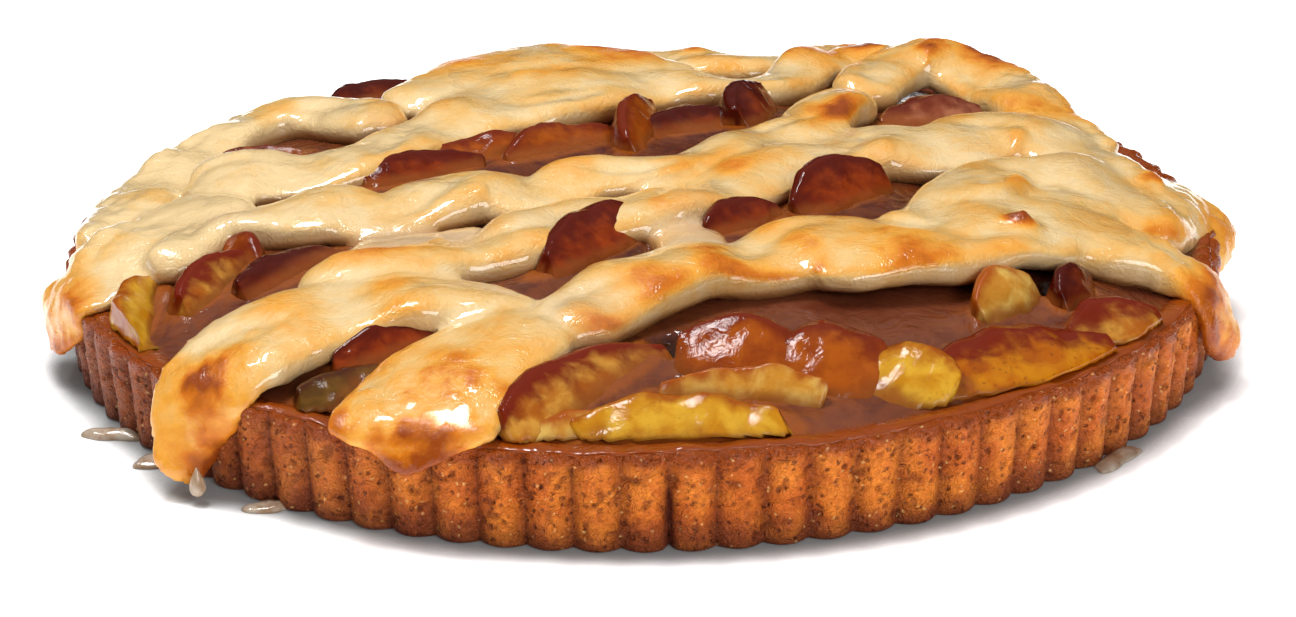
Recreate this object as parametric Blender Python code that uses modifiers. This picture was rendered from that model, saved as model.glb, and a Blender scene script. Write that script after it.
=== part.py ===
"""Apple pie, baked in a fluted tart tin and turned out of it.

A fluted shell of browned short crust holds a domed apple filling. Over the filling lies one net
of egg-washed dough, cut with a lattice cutter and pulled open, whose ends hang over the rim.
Apple slices stand out of the filling in the net's windows.

The origin is the middle of the base on the table, +Z up, and -Y is the side that is shown.
Sizes below are millimetres; meshes are made in metres.
"""
import math

import bmesh
import bpy
import numpy as np
from mathutils import Vector, noise

MM = 0.001
GAP = 0.3                   # clear space left between two pieces that touch

# Shell
RIM_RADIUS = 140.0          # over the crests of the flutes
WALL_HEIGHT = 22.0
BASE_NARROWING = 1.2        # how much smaller the foot's radius is than the rim's
FLUTES = 88
FLUTE_DEPTH = 2.4
POINTS_PER_FLUTE = 4
FOOT_ROUNDING = 1.0
INNER_RADIUS = 133.0
FLOOR_THICKNESS = 5.0

LEAN = 0.04                 # the pie is baked this share higher at +X, and lower at -X

# Filling: a low dome that leaves the rim level and fills the shell
FILLING_RADIUS = INNER_RADIUS - GAP
FILLING_EDGE = WALL_HEIGHT - GAP
FILLING_RISE = 11.0
DOME_POWER = 4.0
FILLING_RINGS = 7
FILLING_STEPS = 48
LUMP_HEIGHT = 0.7
LUMP_SPACING = 26.0

# Net of dough: its crests follow a dome of their own, a strip's thickness above the filling
NET_EDGE = 6.0              # the dome's height above the rim plane at the rim
NET_RISE = 10.0             # and how much more it has in the middle
STRIP_THICKNESS = 8.6       # of the whole oval section, before the filling cuts its underside
FLAP_THICKNESS = 4.6        # where a strip's end hangs free outside the rim
FLAP_START, FLAP_END = 128.0, 143.0
STRIP_STEP = 8.5
STRIP_SIDES = 8

# A strip is a row of stations: x, y, the crest's lift above the net's dome, and the half-width.
STRIPS = {
    "front": [(-18, -101, -1, 9), (-12, -88, 0, 11), (-2, -76, 2, 13), (10, -68, 2, 13),
              (22, -65, 1, 12), (34, -60, 2, 15), (46, -59, 2, 18), (60, -55, 2, 18),
              (74, -49, 2, 18), (88, -43, 2, 18), (101, -41, 1, 15), (112, -45, 0, 12),
              (121, -49, -1, 9), (128, -53, -2, 9), (132, -55, -7, 9), (134, -56, -14, 8),
              (135, -57, -19, 5)],
    "front_upper": [(60, -50, 1, 11), (70, -36, 2, 11), (78, -22, 3, 12), (87, -10, 2, 12),
                    (98, -7, 1, 13), (110, -8, 1, 18), (121, -10, 0, 22), (130, -12, -1, 23),
                    (136, -14, -5, 20), (139, -16, -11, 15), (140, -17, -16, 9)],
    "front_fill": [(82, -30, 0, 10), (94, -24, 0, 11), (106, -22, 0, 12), (117, -24, 0, 12)],
    "front_flap": [(-17, -91, -1, 10), (-27, -99, 0, 14), (-37, -109, 0, 17),
                   (-44, -121, -1, 18), (-48, -131, -2, 18), (-49, -135, -5, 15),
                   (-50, -137, -9, 8)],
    "second": [(-21, -92, -2, 7), (-31, -84, 0, 9), (-43, -79, 1, 13), (-57, -80, 1, 13),
               (-70, -84, 1, 15), (-82, -92, 1, 16), (-91, -101, -1, 15),
               (-95, -106, -5, 13), (-96, -108, -11, 10), (-96, -109, -17, 7),
               (-95, -111, -22, 4)],
    "third": [(-77, -73, -1, 8), (-65, -66, 1, 9), (-54, -63, 1, 10), (-44, -56, 1, 10),
              (-34, -52, 0, 11), (-25, -45, 1, 12), (-15, -37, 1, 11), (-2, -31, 1, 11),
              (10, -24, 1, 12), (24, -12, 1, 12), (36, 0, 1, 12), (48, 10, 1, 14),
              (60, 15, 1, 16), (74, 13, 1, 14), (87, 24, 2, 15), (99, 24, 2, 15),
              (108, 14, 1, 13), (116, 1, 0, 11), (124, -10, 0, 9)],
    "fourth": [(-110, -50, -1, 7), (-106, -38, 0, 7), (-100, -28, 1, 8), (-92, -26, 1, 9),
               (-82, -25, 1, 13), (-71, -24, 1, 13), (-60, -25, 0, 12), (-49, -19, 1, 13),
               (-38, -14, 2, 13), (-27, -18, 0, 11), (-14, -8, 1, 10), (0, -4, 2, 10),
               (12, 3, 1, 10), (24, 10, 1, 11), (34, 18, 1, 11), (42, 30, 1, 10),
               (47, 42, 2, 10), (53, 52, 3, 10), (60, 58, 1, 9)],
    "third_web": [(10, -20, -1, 9), (10, -36, -3, 9), (12, -50, -2, 9), (13, -64, -1, 9)],
    "second_web": [(-70, -40, -4, 9), (-56, -45, -3, 10), (-42, -42, -3, 9), (-32, -36, -3, 9)],
    "fifth": [(-112, 2, 0, 16), (-98, 8, 1, 15), (-84, 9, 0, 13), (-72, 13, 0, 12),
              (-61, 25, 1, 12), (-51, 37, 0, 12), (-40, 49, 1, 14), (-26, 56, 1, 14),
              (-10, 64, 1, 13), (6, 73, 1, 11), (19, 72, 0, 9), (32, 73, 0, 9),
              (41, 82, 1, 9), (48, 95, 2, 9), (56, 106, 3, 10), (66, 109, 4, 9), (75, 103, 4, 8)],
    "left_flap": [(-98, -4, 0, 13), (-109, -19, 0, 14), (-119, -33, -1, 15),
                  (-129, -41, -2, 16), (-135, -43, -6, 15), (-137, -44, -12, 14),
                  (-139, -45, -18, 9)],
    "left_edge": [(-124, -24, -2, 11), (-126, -5, -2, 11), (-123, 14, -2, 11), (-115, 33, -1, 10),
                  (-110, 47, 1, 9), (-103, 59, 1, 9), (-94, 64, 1, 9), (-84, 61, 1, 9),
                  (-74, 52, 1, 10), (-63, 46, 1, 12)],
    "hump": [(-62, 57, 1, 11), (-54, 72, 2, 13), (-41, 86, 3, 16), (-24, 90, 4, 17),
             (-7, 90, 3, 16), (7, 88, 1, 12), (17, 93, -1, 10)],
    "hump_near": [(-55, 50, 0, 12), (-42, 61, 1, 13), (-28, 68, 2, 14), (-12, 72, 2, 14),
                  (3, 78, 1, 12)],
    "back": [(-64, 88, -4, 8), (-52, 102, -4, 9), (-36, 112, -3, 10), (-18, 116, -3, 11),
             (0, 114, -2, 11), (14, 108, -1, 11), (28, 107, -1, 11), (41, 108, -1, 10),
             (52, 112, 0, 9)],
    "back_right": [(58, 62, 1, 9), (63, 77, 2, 10), (71, 91, 5, 11), (80, 94, 7, 12),
                   (89, 88, 5, 12), (96, 75, 4, 12), (102, 59, 3, 11), (107, 43, 2, 10),
                   (113, 30, 0, 8), (117, 20, -1, 6)],
    "back_corner": [(84, 88, 2, 10), (92, 92, 0, 11), (99, 98, -4, 10), (103, 102, -12, 7)],
}

# An apple slice: x, y, lift of its back above the filling, heading in degrees, length, width
SLICES = [
    (-13, -113, 5.0, 45, 46, 13), (-14, -129, 2.8, 14, 26, 9), (10, -127, 4.5, 1, 42, 13),
    (19, -116, 4.0, 0, 34, 7), (20, -102, 6.0, -8, 26, 15), (41, -104, 6.0, 8, 24, 18),
    (56, -108, 5.0, -20, 22, 15), (80, -97, 5.0, 27, 46, 20), (80, -72, 6.0, 48, 20, 9),
    (96, -66, 6.0, 60, 16, 9), (104, -74, 6.0, 30, 24, 15), (-54, -95, 4.0, 22, 26, 10),
    (-62, -108, 3.0, 25, 24, 13), (-113, -58, 6.0, 88, 40, 9), (-98, -54, 6.0, 62, 28, 11),
    (-80, -51, 3.5, 40, 30, 13), (-93, -40, 4.5, -50, 16, 9), (-11, -46, 7.0, 52, 42, 13),
    (24, -33, 5.5, 40, 22, 11), (47, -16, 9.0, 42, 30, 13), (-56, 8, 4.0, 28, 32, 13),
    (-40, 24, 4.0, 25, 30, 12), (-22, 26, 5.0, 38, 32, 13), (-1, 38, 7.5, 78, 30, 9),
    (14, 46, 4.0, 30, 26, 13), (28, 54, 8.0, 72, 24, 12), (76, 50, 4.5, 18, 28, 18),
    (57, 92, 2.5, 50, 26, 8), (-76, 92, 5.0, 42, 30, 11), (-97, 37, 2.0, 10, 22, 8),
]
SLICE_BURIED = 8.0          # how far a slice's section reaches below its back
SLICE_ARCH = 0.10           # bow of a slice, as a share of its length
SLICE_SECTIONS = 5
SLICE_OUTLINE = [(-0.50, -0.30), (-0.40, 0.18), (-0.14, 0.48), (0.16, 0.50), (0.42, 0.20),
                 (0.50, -0.30), (0.0, -0.50)]


def collection(name):
    """A new collection linked to the scene."""
    made = bpy.data.collections.new(name)
    bpy.context.scene.collection.children.link(made)
    return made


def finish_material(name, colour, roughness):
    """A Principled material of one colour and roughness."""
    made = bpy.data.materials.new(name)
    made.use_nodes = True
    shader = made.node_tree.nodes["Principled BSDF"]
    shader.inputs["Base Color"].default_value = (*colour, 1.0)
    shader.inputs["Roughness"].default_value = roughness
    shader.inputs["Metallic"].default_value = 0.0
    return made


def new_object(name, mesh, home):
    """Put a mesh into the scene as a named object of one collection."""
    made = bpy.data.objects.new(name, mesh)
    home.objects.link(made)
    return made


def apply_modifiers(piece):
    """Make what the modifiers show the object's own mesh."""
    bpy.context.view_layer.update()
    shown = piece.evaluated_get(bpy.context.evaluated_depsgraph_get())
    mesh = bpy.data.meshes.new_from_object(shown)
    piece.modifiers.clear()
    piece.data = mesh


def boolean(piece, operation, other):
    """Cut or join a piece with an object or a whole collection, and apply it."""
    step = piece.modifiers.new(operation.title(), "BOOLEAN")
    step.operation = operation
    step.solver = "MANIFOLD"
    if isinstance(other, bpy.types.Collection):
        step.operand_type = "COLLECTION"
        step.collection = other
    else:
        step.object = other
    apply_modifiers(piece)


def keep_largest(piece):
    """Drop the loose scraps that a cut leaves: only the body with the most points stays."""
    mesh = bmesh.new()
    mesh.from_mesh(piece.data)
    left = set(mesh.verts)
    bodies = []
    while left:
        body, front = set(), [left.pop()]
        while front:
            point = front.pop()
            body.add(point)
            for edge in point.link_edges:
                other = edge.other_vert(point)
                if other in left:
                    left.discard(other)
                    front.append(other)
        bodies.append(body)
    bodies.sort(key=len)
    scraps = [point for body in bodies[:-1] for point in body]
    bmesh.ops.delete(mesh, geom=scraps, context="VERTS")
    mesh.to_mesh(piece.data)
    mesh.free()


def turned(name, profile, steps, home):
    """A solid of revolution: an open profile of (radius, height) from axis to axis, by Screw."""
    mesh = bpy.data.meshes.new(name)
    points = [(radius * MM, 0.0, height * MM) for radius, height in profile]
    mesh.from_pydata(points, [(i, i + 1) for i in range(len(points) - 1)], [])
    piece = new_object(name, mesh, home)
    screw = piece.modifiers.new("Turn", "SCREW")
    screw.steps = screw.render_steps = steps
    screw.use_merge_vertices = True
    screw.merge_threshold = 0.00001
    apply_modifiers(piece)
    made = bmesh.new()
    made.from_mesh(piece.data)
    bmesh.ops.recalc_face_normals(made, faces=made.faces)
    made.to_mesh(piece.data)
    made.free()
    return piece


def flute(angle):
    """How far the wall lies inside its crests: round ribs with narrow grooves between them."""
    return FLUTE_DEPTH * (1.0 - abs(math.cos(FLUTES * angle / 2.0)) ** 0.8)


def build_shell(home, cutters):
    """The fluted cup: a turned block with its wall pressed into flutes, and its hollow cut out."""
    foot = RIM_RADIUS - BASE_NARROWING
    rim_edge = RIM_RADIUS - 0.8
    profile = [(0.0, WALL_HEIGHT), (rim_edge, WALL_HEIGHT), (RIM_RADIUS, WALL_HEIGHT - 1.2),
               (foot, FOOT_ROUNDING), (foot - FOOT_ROUNDING, 0.0), (0.0, 0.0)]
    shell = turned("crust_shell", profile, FLUTES * POINTS_PER_FLUTE, home)
    for point in shell.data.vertices:
        radius = math.hypot(point.co.x, point.co.y)
        if radius > INNER_RADIUS * MM:
            scale = 1.0 - flute(math.atan2(point.co.y, point.co.x)) * MM / radius
            point.co.x *= scale
            point.co.y *= scale
    above = WALL_HEIGHT + 10.0
    hollow = turned("hollow", [(0.0, above), (INNER_RADIUS, above),
                               (INNER_RADIUS, FLOOR_THICKNESS), (0.0, FLOOR_THICKNESS)],
                    FILLING_STEPS, cutters)
    boolean(shell, "DIFFERENCE", hollow)
    return shell


def filling_height(radius):
    """Height of the filling's dome at a radius."""
    share = min(radius / FILLING_RADIUS, 1.0)
    return FILLING_EDGE + FILLING_RISE * (1.0 - share ** DOME_POWER)


def lumps(x, y):
    """Low lumps of the filling, dying out at the rim."""
    share = math.hypot(x, y) / FILLING_RADIUS
    fade = max(0.0, 1.0 - share ** 6)
    return LUMP_HEIGHT * fade * noise.noise(Vector((x / LUMP_SPACING, y / LUMP_SPACING, 3.0)))


def bed(name, lift, bottom, outside, home):
    """The filling's body, or a deeper and wider copy raised by lift, with the same top facets.

    outside is None for the filling itself. For a cutter it is the radius out to which the top
    runs on level over the rim.
    """
    radii = [FILLING_RADIUS * i / FILLING_RINGS for i in range(FILLING_RINGS + 1)]
    profile = [(radius, filling_height(radius) + lift) for radius in radii]
    if outside is not None:
        profile += [(INNER_RADIUS - 0.1, WALL_HEIGHT + lift), (outside, WALL_HEIGHT + lift)]
    profile += [(profile[-1][0], bottom), (0.0, bottom)]
    body = turned(name, profile, FILLING_STEPS, home)
    for point in body.data.vertices:
        x, y = point.co.x / MM, point.co.y / MM
        if point.co.z / MM > bottom + 1.0 and math.hypot(x, y) < FILLING_RADIUS - 1.0:
            point.co.z += lumps(x, y) * MM
    return body


def net_height(x, y):
    """Height of the dome that the net's crests follow."""
    share = np.minimum(np.hypot(x, y) / RIM_RADIUS, 1.1)
    return WALL_HEIGHT + NET_EDGE + NET_RISE * (1.0 - share ** DOME_POWER)


def smooth_step(value):
    """Ease from 0 to 1."""
    value = np.clip(value, 0.0, 1.0)
    return value * value * (3.0 - 2.0 * value)


def spline(stations, step):
    """Points about a step apart on the Catmull-Rom curve through the stations, all columns alike."""
    rows = np.array(stations, float)
    rows = np.vstack([2 * rows[0] - rows[1], rows, 2 * rows[-1] - rows[-2]])
    made = []
    for a, b, c, d in zip(rows, rows[1:], rows[2:], rows[3:]):
        count = max(1, round(float(np.linalg.norm((c - b)[:3])) / step))
        for t in np.arange(count) / count:
            made.append(0.5 * (2 * b + (c - a) * t + (2 * a - 5 * b + 4 * c - d) * t * t
                               + (3 * b - a - 3 * c + d) * t ** 3))
    made.append(rows[-2])
    return np.array(made)


def strip_rings(stations, grow):
    """Oval sections along a strip, rounded off at both ends, in millimetres."""
    rows = spline(stations, STRIP_STEP)
    radius = np.hypot(rows[:, 0], rows[:, 1])
    flap = smooth_step((radius - FLAP_START) / (FLAP_END - FLAP_START))
    thickness = STRIP_THICKNESS + (FLAP_THICKNESS - STRIP_THICKNESS) * flap
    crest = net_height(rows[:, 0], rows[:, 1]) + rows[:, 2]
    path = np.column_stack([rows[:, :2], crest])
    tangent = np.gradient(path, axis=0)
    side = np.column_stack([-tangent[:, 1], tangent[:, 0], np.zeros(len(path))])
    side /= np.linalg.norm(side, axis=1)[:, None]
    up = np.cross(tangent, side)
    up /= np.linalg.norm(up, axis=1)[:, None]
    middle = path - up * thickness[:, None] / 2.0
    angles = 2.0 * math.pi * (np.arange(STRIP_SIDES) + 0.25) / STRIP_SIDES
    across, over = np.cos(angles), np.sin(angles)
    half_width = rows[:, 3] + grow
    half_height = thickness / 2.0 + grow
    ease = np.ones(len(path))
    ease[0] = ease[-1] = 0.72
    rings = (middle[:, None, :]
             + side[:, None, :] * (half_width * ease)[:, None, None] * across[None, :, None]
             + up[:, None, :] * (half_height * ease)[:, None, None] * over[None, :, None])
    ends = []
    for end, inner in ((0, 1), (-1, -2)):
        out = middle[end] - middle[inner]
        out /= np.linalg.norm(out)
        ends.append(middle[end] + out * (rows[end, 3] * 0.45 + grow))
    return rings, ends


def loft(name, rings, ends, home):
    """A closed skin over unlike sections, with a point at each end."""
    sections, sides = rings.shape[:2]
    points = [tuple(point * MM) for point in rings.reshape(-1, 3)]
    points += [tuple(point * MM) for point in ends]
    first, last = sections * sides, sections * sides + 1
    faces = []
    for i in range(sections - 1):
        for j in range(sides):
            k = (j + 1) % sides
            faces.append((i * sides + j, i * sides + k, (i + 1) * sides + k, (i + 1) * sides + j))
    for j in range(sides):
        k = (j + 1) % sides
        faces.append((first, k, j))
        faces.append((last, (sections - 1) * sides + j, (sections - 1) * sides + k))
    mesh = bpy.data.meshes.new(name)
    mesh.from_pydata(points, [], faces)
    made = bmesh.new()
    made.from_mesh(mesh)
    bmesh.ops.triangulate(made, faces=made.faces)
    bmesh.ops.recalc_face_normals(made, faces=made.faces)
    made.to_mesh(mesh)
    made.free()
    return new_object(name, mesh, home)


def build_net(name, grow, home, under):
    """All strips joined by one union, with the underside cut to the filling and the rim."""
    loose = collection(name + "_strips")
    whole = None
    for label, stations in STRIPS.items():
        rings, ends = strip_rings(stations, grow)
        strip = loft(name if whole is None else label, rings, ends,
                     home if whole is None else loose)
        whole = whole or strip
    boolean(whole, "UNION", loose)
    for strip in list(loose.objects):
        bpy.data.objects.remove(strip)
    bpy.data.collections.remove(loose)
    if under is not None:
        boolean(whole, "DIFFERENCE", under)
        keep_largest(whole)
    return whole


def slice_rings(row, grow):
    """Sections of one apple slice: a bowed wedge, thinner at both tips."""
    x, y, lift, heading, length, width = row
    turn = math.radians(heading)
    along = np.array([math.cos(turn), math.sin(turn), 0.0])
    side = np.array([-math.sin(turn), math.cos(turn), 0.0])
    top = filling_height(math.hypot(x, y)) + lift
    share = np.linspace(-0.46, 0.46, SLICE_SECTIONS)
    bow = 1.0 - (2.0 * share) ** 2
    width_at = width * (0.35 + 0.65 * np.sqrt(bow))
    height = lift + SLICE_BURIED
    crest = top - (1.0 - bow) * lift * 0.55
    outline = np.array(SLICE_OUTLINE)
    rings = []
    for s, b, w, z in zip(share, bow, width_at, crest):
        centre = np.array([x, y, z - height / 2.0]) + along * s * length
        centre = centre + side * (b - 0.6) * SLICE_ARCH * length
        across = outline[:, 0] * (w + 2.0 * grow)
        over = outline[:, 1] * (height + 2.0 * grow)
        rings.append(centre + np.outer(across, side) + np.outer(over, (0.0, 0.0, 1.0)))
    rings = np.array(rings)
    tips = [rings[end].mean(axis=0) + sign * along * (0.04 * length + grow)
            for end, sign in ((0, -1.0), (-1, 1.0))]
    return rings, tips


def build_slices(home, cutters, under, net):
    """Each slice cut clear of the filling, the rim, the net and the slices made before it."""
    made = []
    for number, row in enumerate(SLICES, start=1):
        piece = loft(f"apple_slice_{number:02d}", *slice_rings(row, 0.0), home)
        boolean(piece, "DIFFERENCE", under)
        boolean(piece, "DIFFERENCE", net)
        for other, blocker in made:
            reach = (row[4] + other[4]) / 2.0 + row[5]
            if math.hypot(row[0] - other[0], row[1] - other[1]) < reach:
                boolean(piece, "DIFFERENCE", blocker)
        keep_largest(piece)
        blocker = loft(f"around_slice_{number:02d}", *slice_rings(row, GAP), cutters)
        made.append((row, blocker))


def lean(home):
    """Make every piece a little taller towards +X and lower towards -X; the base stays flat."""
    for piece in home.objects:
        for point in piece.data.vertices:
            point.co.z *= 1.0 + LEAN * point.co.x / (RIM_RADIUS * MM)


def colour_pieces(home):
    """Give every piece its own material in the colour of its kind."""
    kinds = {"crust_shell": ((0.42, 0.15, 0.045), 0.55), "apple_filling": ((0.20, 0.07, 0.04), 0.2),
             "lattice_top": ((0.83, 0.55, 0.20), 0.35), "apple_slice": ((0.55, 0.26, 0.04), 0.25)}
    for piece in home.objects:
        colour, roughness = next(value for kind, value in kinds.items()
                                 if piece.name.startswith(kind))
        piece.data.materials.clear()
        piece.data.materials.append(finish_material(piece.name + "_colour", colour, roughness))
        piece.data.shade_smooth()
        piece.data.set_sharp_from_angle(angle=math.radians(40.0))


def main():
    """Build the pie from its shell upwards."""
    for old in list(bpy.data.objects):
        bpy.data.objects.remove(old)
    pie = collection("apple_pie")
    cutters = collection("cutters")
    build_shell(pie, cutters)
    bed("apple_filling", 0.0, FLOOR_THICKNESS + GAP, None, pie)
    under = bed("under_the_net", GAP, -30.0, RIM_RADIUS + 2.0 * GAP, cutters)
    build_net("lattice_top", 0.0, pie, under)
    around = build_net("around_the_net", GAP, cutters, None)
    build_slices(pie, cutters, under, around)
    lean(pie)
    colour_pieces(pie)
    for cutter in cutters.objects:
        cutter.hide_render = True
        cutter.display_type = "WIRE"


main()
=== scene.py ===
"""Apple pie turned out of its tin: its looks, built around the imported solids.

A fluted shell of browned short crust holds a filling of apple slices in gel. One net of
egg-washed dough lies over it, pulled open into windows, with its ends hanging over the rim.
Tables are in millimetres, meshes in metres. +Z is up and -Y is the side that is shown.
"""

import logging
import math
from dataclasses import dataclass, field
from enum import Enum

import bmesh
import bpy
import numpy as np
from mathutils import Matrix, Vector


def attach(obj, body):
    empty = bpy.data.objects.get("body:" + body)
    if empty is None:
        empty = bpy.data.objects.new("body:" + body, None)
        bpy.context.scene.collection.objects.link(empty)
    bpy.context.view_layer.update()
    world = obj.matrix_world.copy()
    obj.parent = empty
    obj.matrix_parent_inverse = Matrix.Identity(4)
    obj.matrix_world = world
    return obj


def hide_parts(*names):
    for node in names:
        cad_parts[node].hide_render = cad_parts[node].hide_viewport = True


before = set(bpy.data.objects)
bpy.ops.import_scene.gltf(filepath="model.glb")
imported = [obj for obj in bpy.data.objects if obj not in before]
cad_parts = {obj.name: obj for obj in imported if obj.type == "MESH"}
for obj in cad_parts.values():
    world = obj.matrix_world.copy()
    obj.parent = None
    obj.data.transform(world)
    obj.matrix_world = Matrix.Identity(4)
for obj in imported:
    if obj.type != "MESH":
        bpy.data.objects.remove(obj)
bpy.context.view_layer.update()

LOG = logging.getLogger("apple_pie")
MM = 0.001
ROOT = "root"

# Shell, filling and net, in the sizes of the part's source
RIM_RADIUS = 140.0
WALL_HEIGHT = 22.0
BASE_NARROWING = 1.2
FLUTES = 88
FLUTE_DEPTH = 2.4
FOOT_ROUNDING = 1.0
INNER_RADIUS = 133.0
FLOOR_THICKNESS = 5.0
LEAN = 0.04
FILLING_RADIUS = 132.7
FILLING_EDGE = 21.7
FILLING_RISE = 11.0
DOME_POWER = 4.0
NET_EDGE = 6.0
NET_RISE = 10.0
STRIP_THICKNESS = 8.6
FLAP_THICKNESS = 4.6
FLAP_START, FLAP_END = 128.0, 143.0
SLICE_BURIED = 8.0
SLICE_ARCH = 0.10
RIM_WAVES = 0.8

# A strip is a row of stations: x, y, the crest's lift above the net's dome, and the half-width.
STRIPS: dict[str, list[tuple[float, float, float, float]]] = {
    "front": [(-18, -101, -1, 9), (-12, -88, 0, 11), (-2, -76, 2, 13), (10, -68, 2, 13),
              (22, -65, 1, 12), (34, -60, 2, 15), (46, -59, 2, 18), (60, -55, 2, 18),
              (74, -49, 2, 18), (88, -43, 2, 18), (101, -41, 1, 15), (112, -45, 0, 12),
              (121, -49, -1, 9), (128, -53, -2, 9), (132, -55, -7, 9), (134, -56, -14, 8),
              (135, -57, -19, 5)],
    "front_upper": [(60, -50, 1, 11), (70, -36, 2, 11), (78, -22, 3, 12), (87, -10, 2, 12),
                    (98, -7, 1, 13), (110, -8, 1, 18), (121, -10, 0, 22), (130, -12, -1, 23),
                    (136, -14, -5, 20), (139, -16, -11, 15), (140, -17, -16, 9)],
    "front_fill": [(82, -30, 0, 10), (94, -24, 0, 11), (106, -22, 0, 12), (117, -24, 0, 12)],
    "front_flap": [(-17, -91, -1, 10), (-27, -99, 0, 14), (-37, -109, 0, 17),
                   (-44, -121, -1, 18), (-48, -131, -2, 18), (-49, -135, -5, 15),
                   (-50, -137, -9, 8)],
    "second": [(-21, -92, -2, 7), (-31, -84, 0, 9), (-43, -79, 1, 13), (-57, -80, 1, 13),
               (-70, -84, 1, 15), (-82, -92, 1, 16), (-91, -101, -1, 15),
               (-95, -106, -5, 13), (-96, -108, -11, 10), (-96, -109, -17, 7),
               (-95, -111, -22, 4)],
    "third": [(-77, -73, -1, 8), (-65, -66, 1, 9), (-54, -63, 1, 10), (-44, -56, 1, 10),
              (-34, -52, 0, 11), (-25, -45, 1, 12), (-15, -37, 1, 11), (-2, -31, 1, 11),
              (10, -24, 1, 12), (24, -12, 1, 12), (36, 0, 1, 12), (48, 10, 1, 14),
              (60, 15, 1, 16), (74, 13, 1, 14), (87, 24, 2, 15), (99, 24, 2, 15),
              (108, 14, 1, 13), (116, 1, 0, 11), (124, -10, 0, 9)],
    "fourth": [(-110, -50, -1, 7), (-106, -38, 0, 7), (-100, -28, 1, 8), (-92, -26, 1, 9),
               (-82, -25, 1, 13), (-71, -24, 1, 13), (-60, -25, 0, 12), (-49, -19, 1, 13),
               (-38, -14, 2, 13), (-27, -18, 0, 11), (-14, -8, 1, 10), (0, -4, 2, 10),
               (12, 3, 1, 10), (24, 10, 1, 11), (34, 18, 1, 11), (42, 30, 1, 10),
               (47, 42, 2, 10), (53, 52, 3, 10), (60, 58, 1, 9)],
    "third_web": [(10, -20, -1, 9), (10, -36, -3, 9), (12, -50, -2, 9), (13, -64, -1, 9)],
    "second_web": [(-70, -40, -4, 9), (-56, -45, -3, 10), (-42, -42, -3, 9), (-32, -36, -3, 9)],
    "fifth": [(-112, 2, 0, 16), (-98, 8, 1, 15), (-84, 9, 0, 13), (-72, 13, 0, 12),
              (-61, 25, 1, 12), (-51, 37, 0, 12), (-40, 49, 1, 14), (-26, 56, 1, 14),
              (-10, 64, 1, 13), (6, 73, 1, 11), (19, 72, 0, 9), (32, 73, 0, 9),
              (41, 82, 1, 9), (48, 95, 2, 9), (56, 106, 3, 10), (66, 109, 4, 9), (75, 103, 4, 8)],
    "left_flap": [(-98, -4, 0, 13), (-109, -19, 0, 14), (-119, -33, -1, 15),
                  (-129, -41, -2, 16), (-135, -43, -6, 15), (-137, -44, -12, 14),
                  (-139, -45, -18, 9)],
    "left_edge": [(-124, -24, -2, 11), (-126, -5, -2, 11), (-123, 14, -2, 11), (-115, 33, -1, 10),
                  (-110, 47, 1, 9), (-103, 59, 1, 9), (-94, 64, 1, 9), (-84, 61, 1, 9),
                  (-74, 52, 1, 10), (-63, 46, 1, 12)],
    "hump": [(-62, 57, 1, 11), (-54, 72, 2, 13), (-41, 86, 3, 16), (-24, 90, 4, 17),
             (-7, 90, 3, 16), (7, 88, 1, 12), (17, 93, -1, 10)],
    "hump_near": [(-55, 50, 0, 12), (-42, 61, 1, 13), (-28, 68, 2, 14), (-12, 72, 2, 14),
                  (3, 78, 1, 12)],
    "back": [(-64, 88, -4, 8), (-52, 102, -4, 9), (-36, 112, -3, 10), (-18, 116, -3, 11),
             (0, 114, -2, 11), (14, 108, -1, 11), (28, 107, -1, 11), (41, 108, -1, 10),
             (52, 112, 0, 9)],
    "back_right": [(58, 62, 1, 9), (63, 77, 2, 10), (71, 91, 5, 11), (80, 94, 7, 12),
                   (89, 88, 5, 12), (96, 75, 4, 12), (102, 59, 3, 11), (107, 43, 2, 10),
                   (113, 30, 0, 8), (117, 20, -1, 6)],
    "back_corner": [(84, 88, 2, 10), (92, 92, 0, 11), (99, 98, -4, 10), (103, 102, -12, 7)],
}
# Strips that are pulled flat, with hardly any lobes
SMOOTH_STRIPS = {"hump", "hump_near", "front_fill", "second_web", "third_web", "front_flap"}
# Places where the dough has browned: x, y, radius and how far, where 1 is dark on a flat place
BROWNED: list[tuple[float, float, float, float]] = [
    (0, -84, 12, 0.45), (26, -70, 20, 0.55), (57, -64, 20, 0.40), (-7, -98, 9, 0.45),
    (86, -50, 6, 0.6), (-42, -118, 22, 0.8), (94, -22, 12, 0.25), (114, -33, 16, 0.45),
    (137, -30, 12, 0.75), (131, -58, 12, 0.75), (-52, -58, 14, 0.30), (20, -8, 13, 0.60),
    (0, -24, 12, 0.40),
    (48, 34, 12, 0.60), (58, 100, 16, 0.45), (-46, 88, 14, 0.50), (-8, 98, 20, 0.65),
    (-26, 76, 16, 0.30), (80, 92, 12, 0.40), (106, 44, 14, 0.70), (96, 92, 14, 0.70),
    (-99, 60, 10, 0.45), (-124, 4, 12, 0.20), (-137, -50, 16, 0.85), (-127, -36, 12, 0.35),
    (-92, -104, 11, 1.2), (-78, -88, 14, 0.50), (-58, -78, 10, 0.50), (-50, -118, 12, 0.35),
    (-46, -134, 12, 1.0), (-62, -126, 8, 0.65), (-34, -100, 10, 0.45), (-81, -20, 10, 0.25),
    (62, 108, 9, 0.7), (-36, 116, 14, 0.5), (10, 112, 14, 0.45), (122, -6, 10, 0.5),
]
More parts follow.
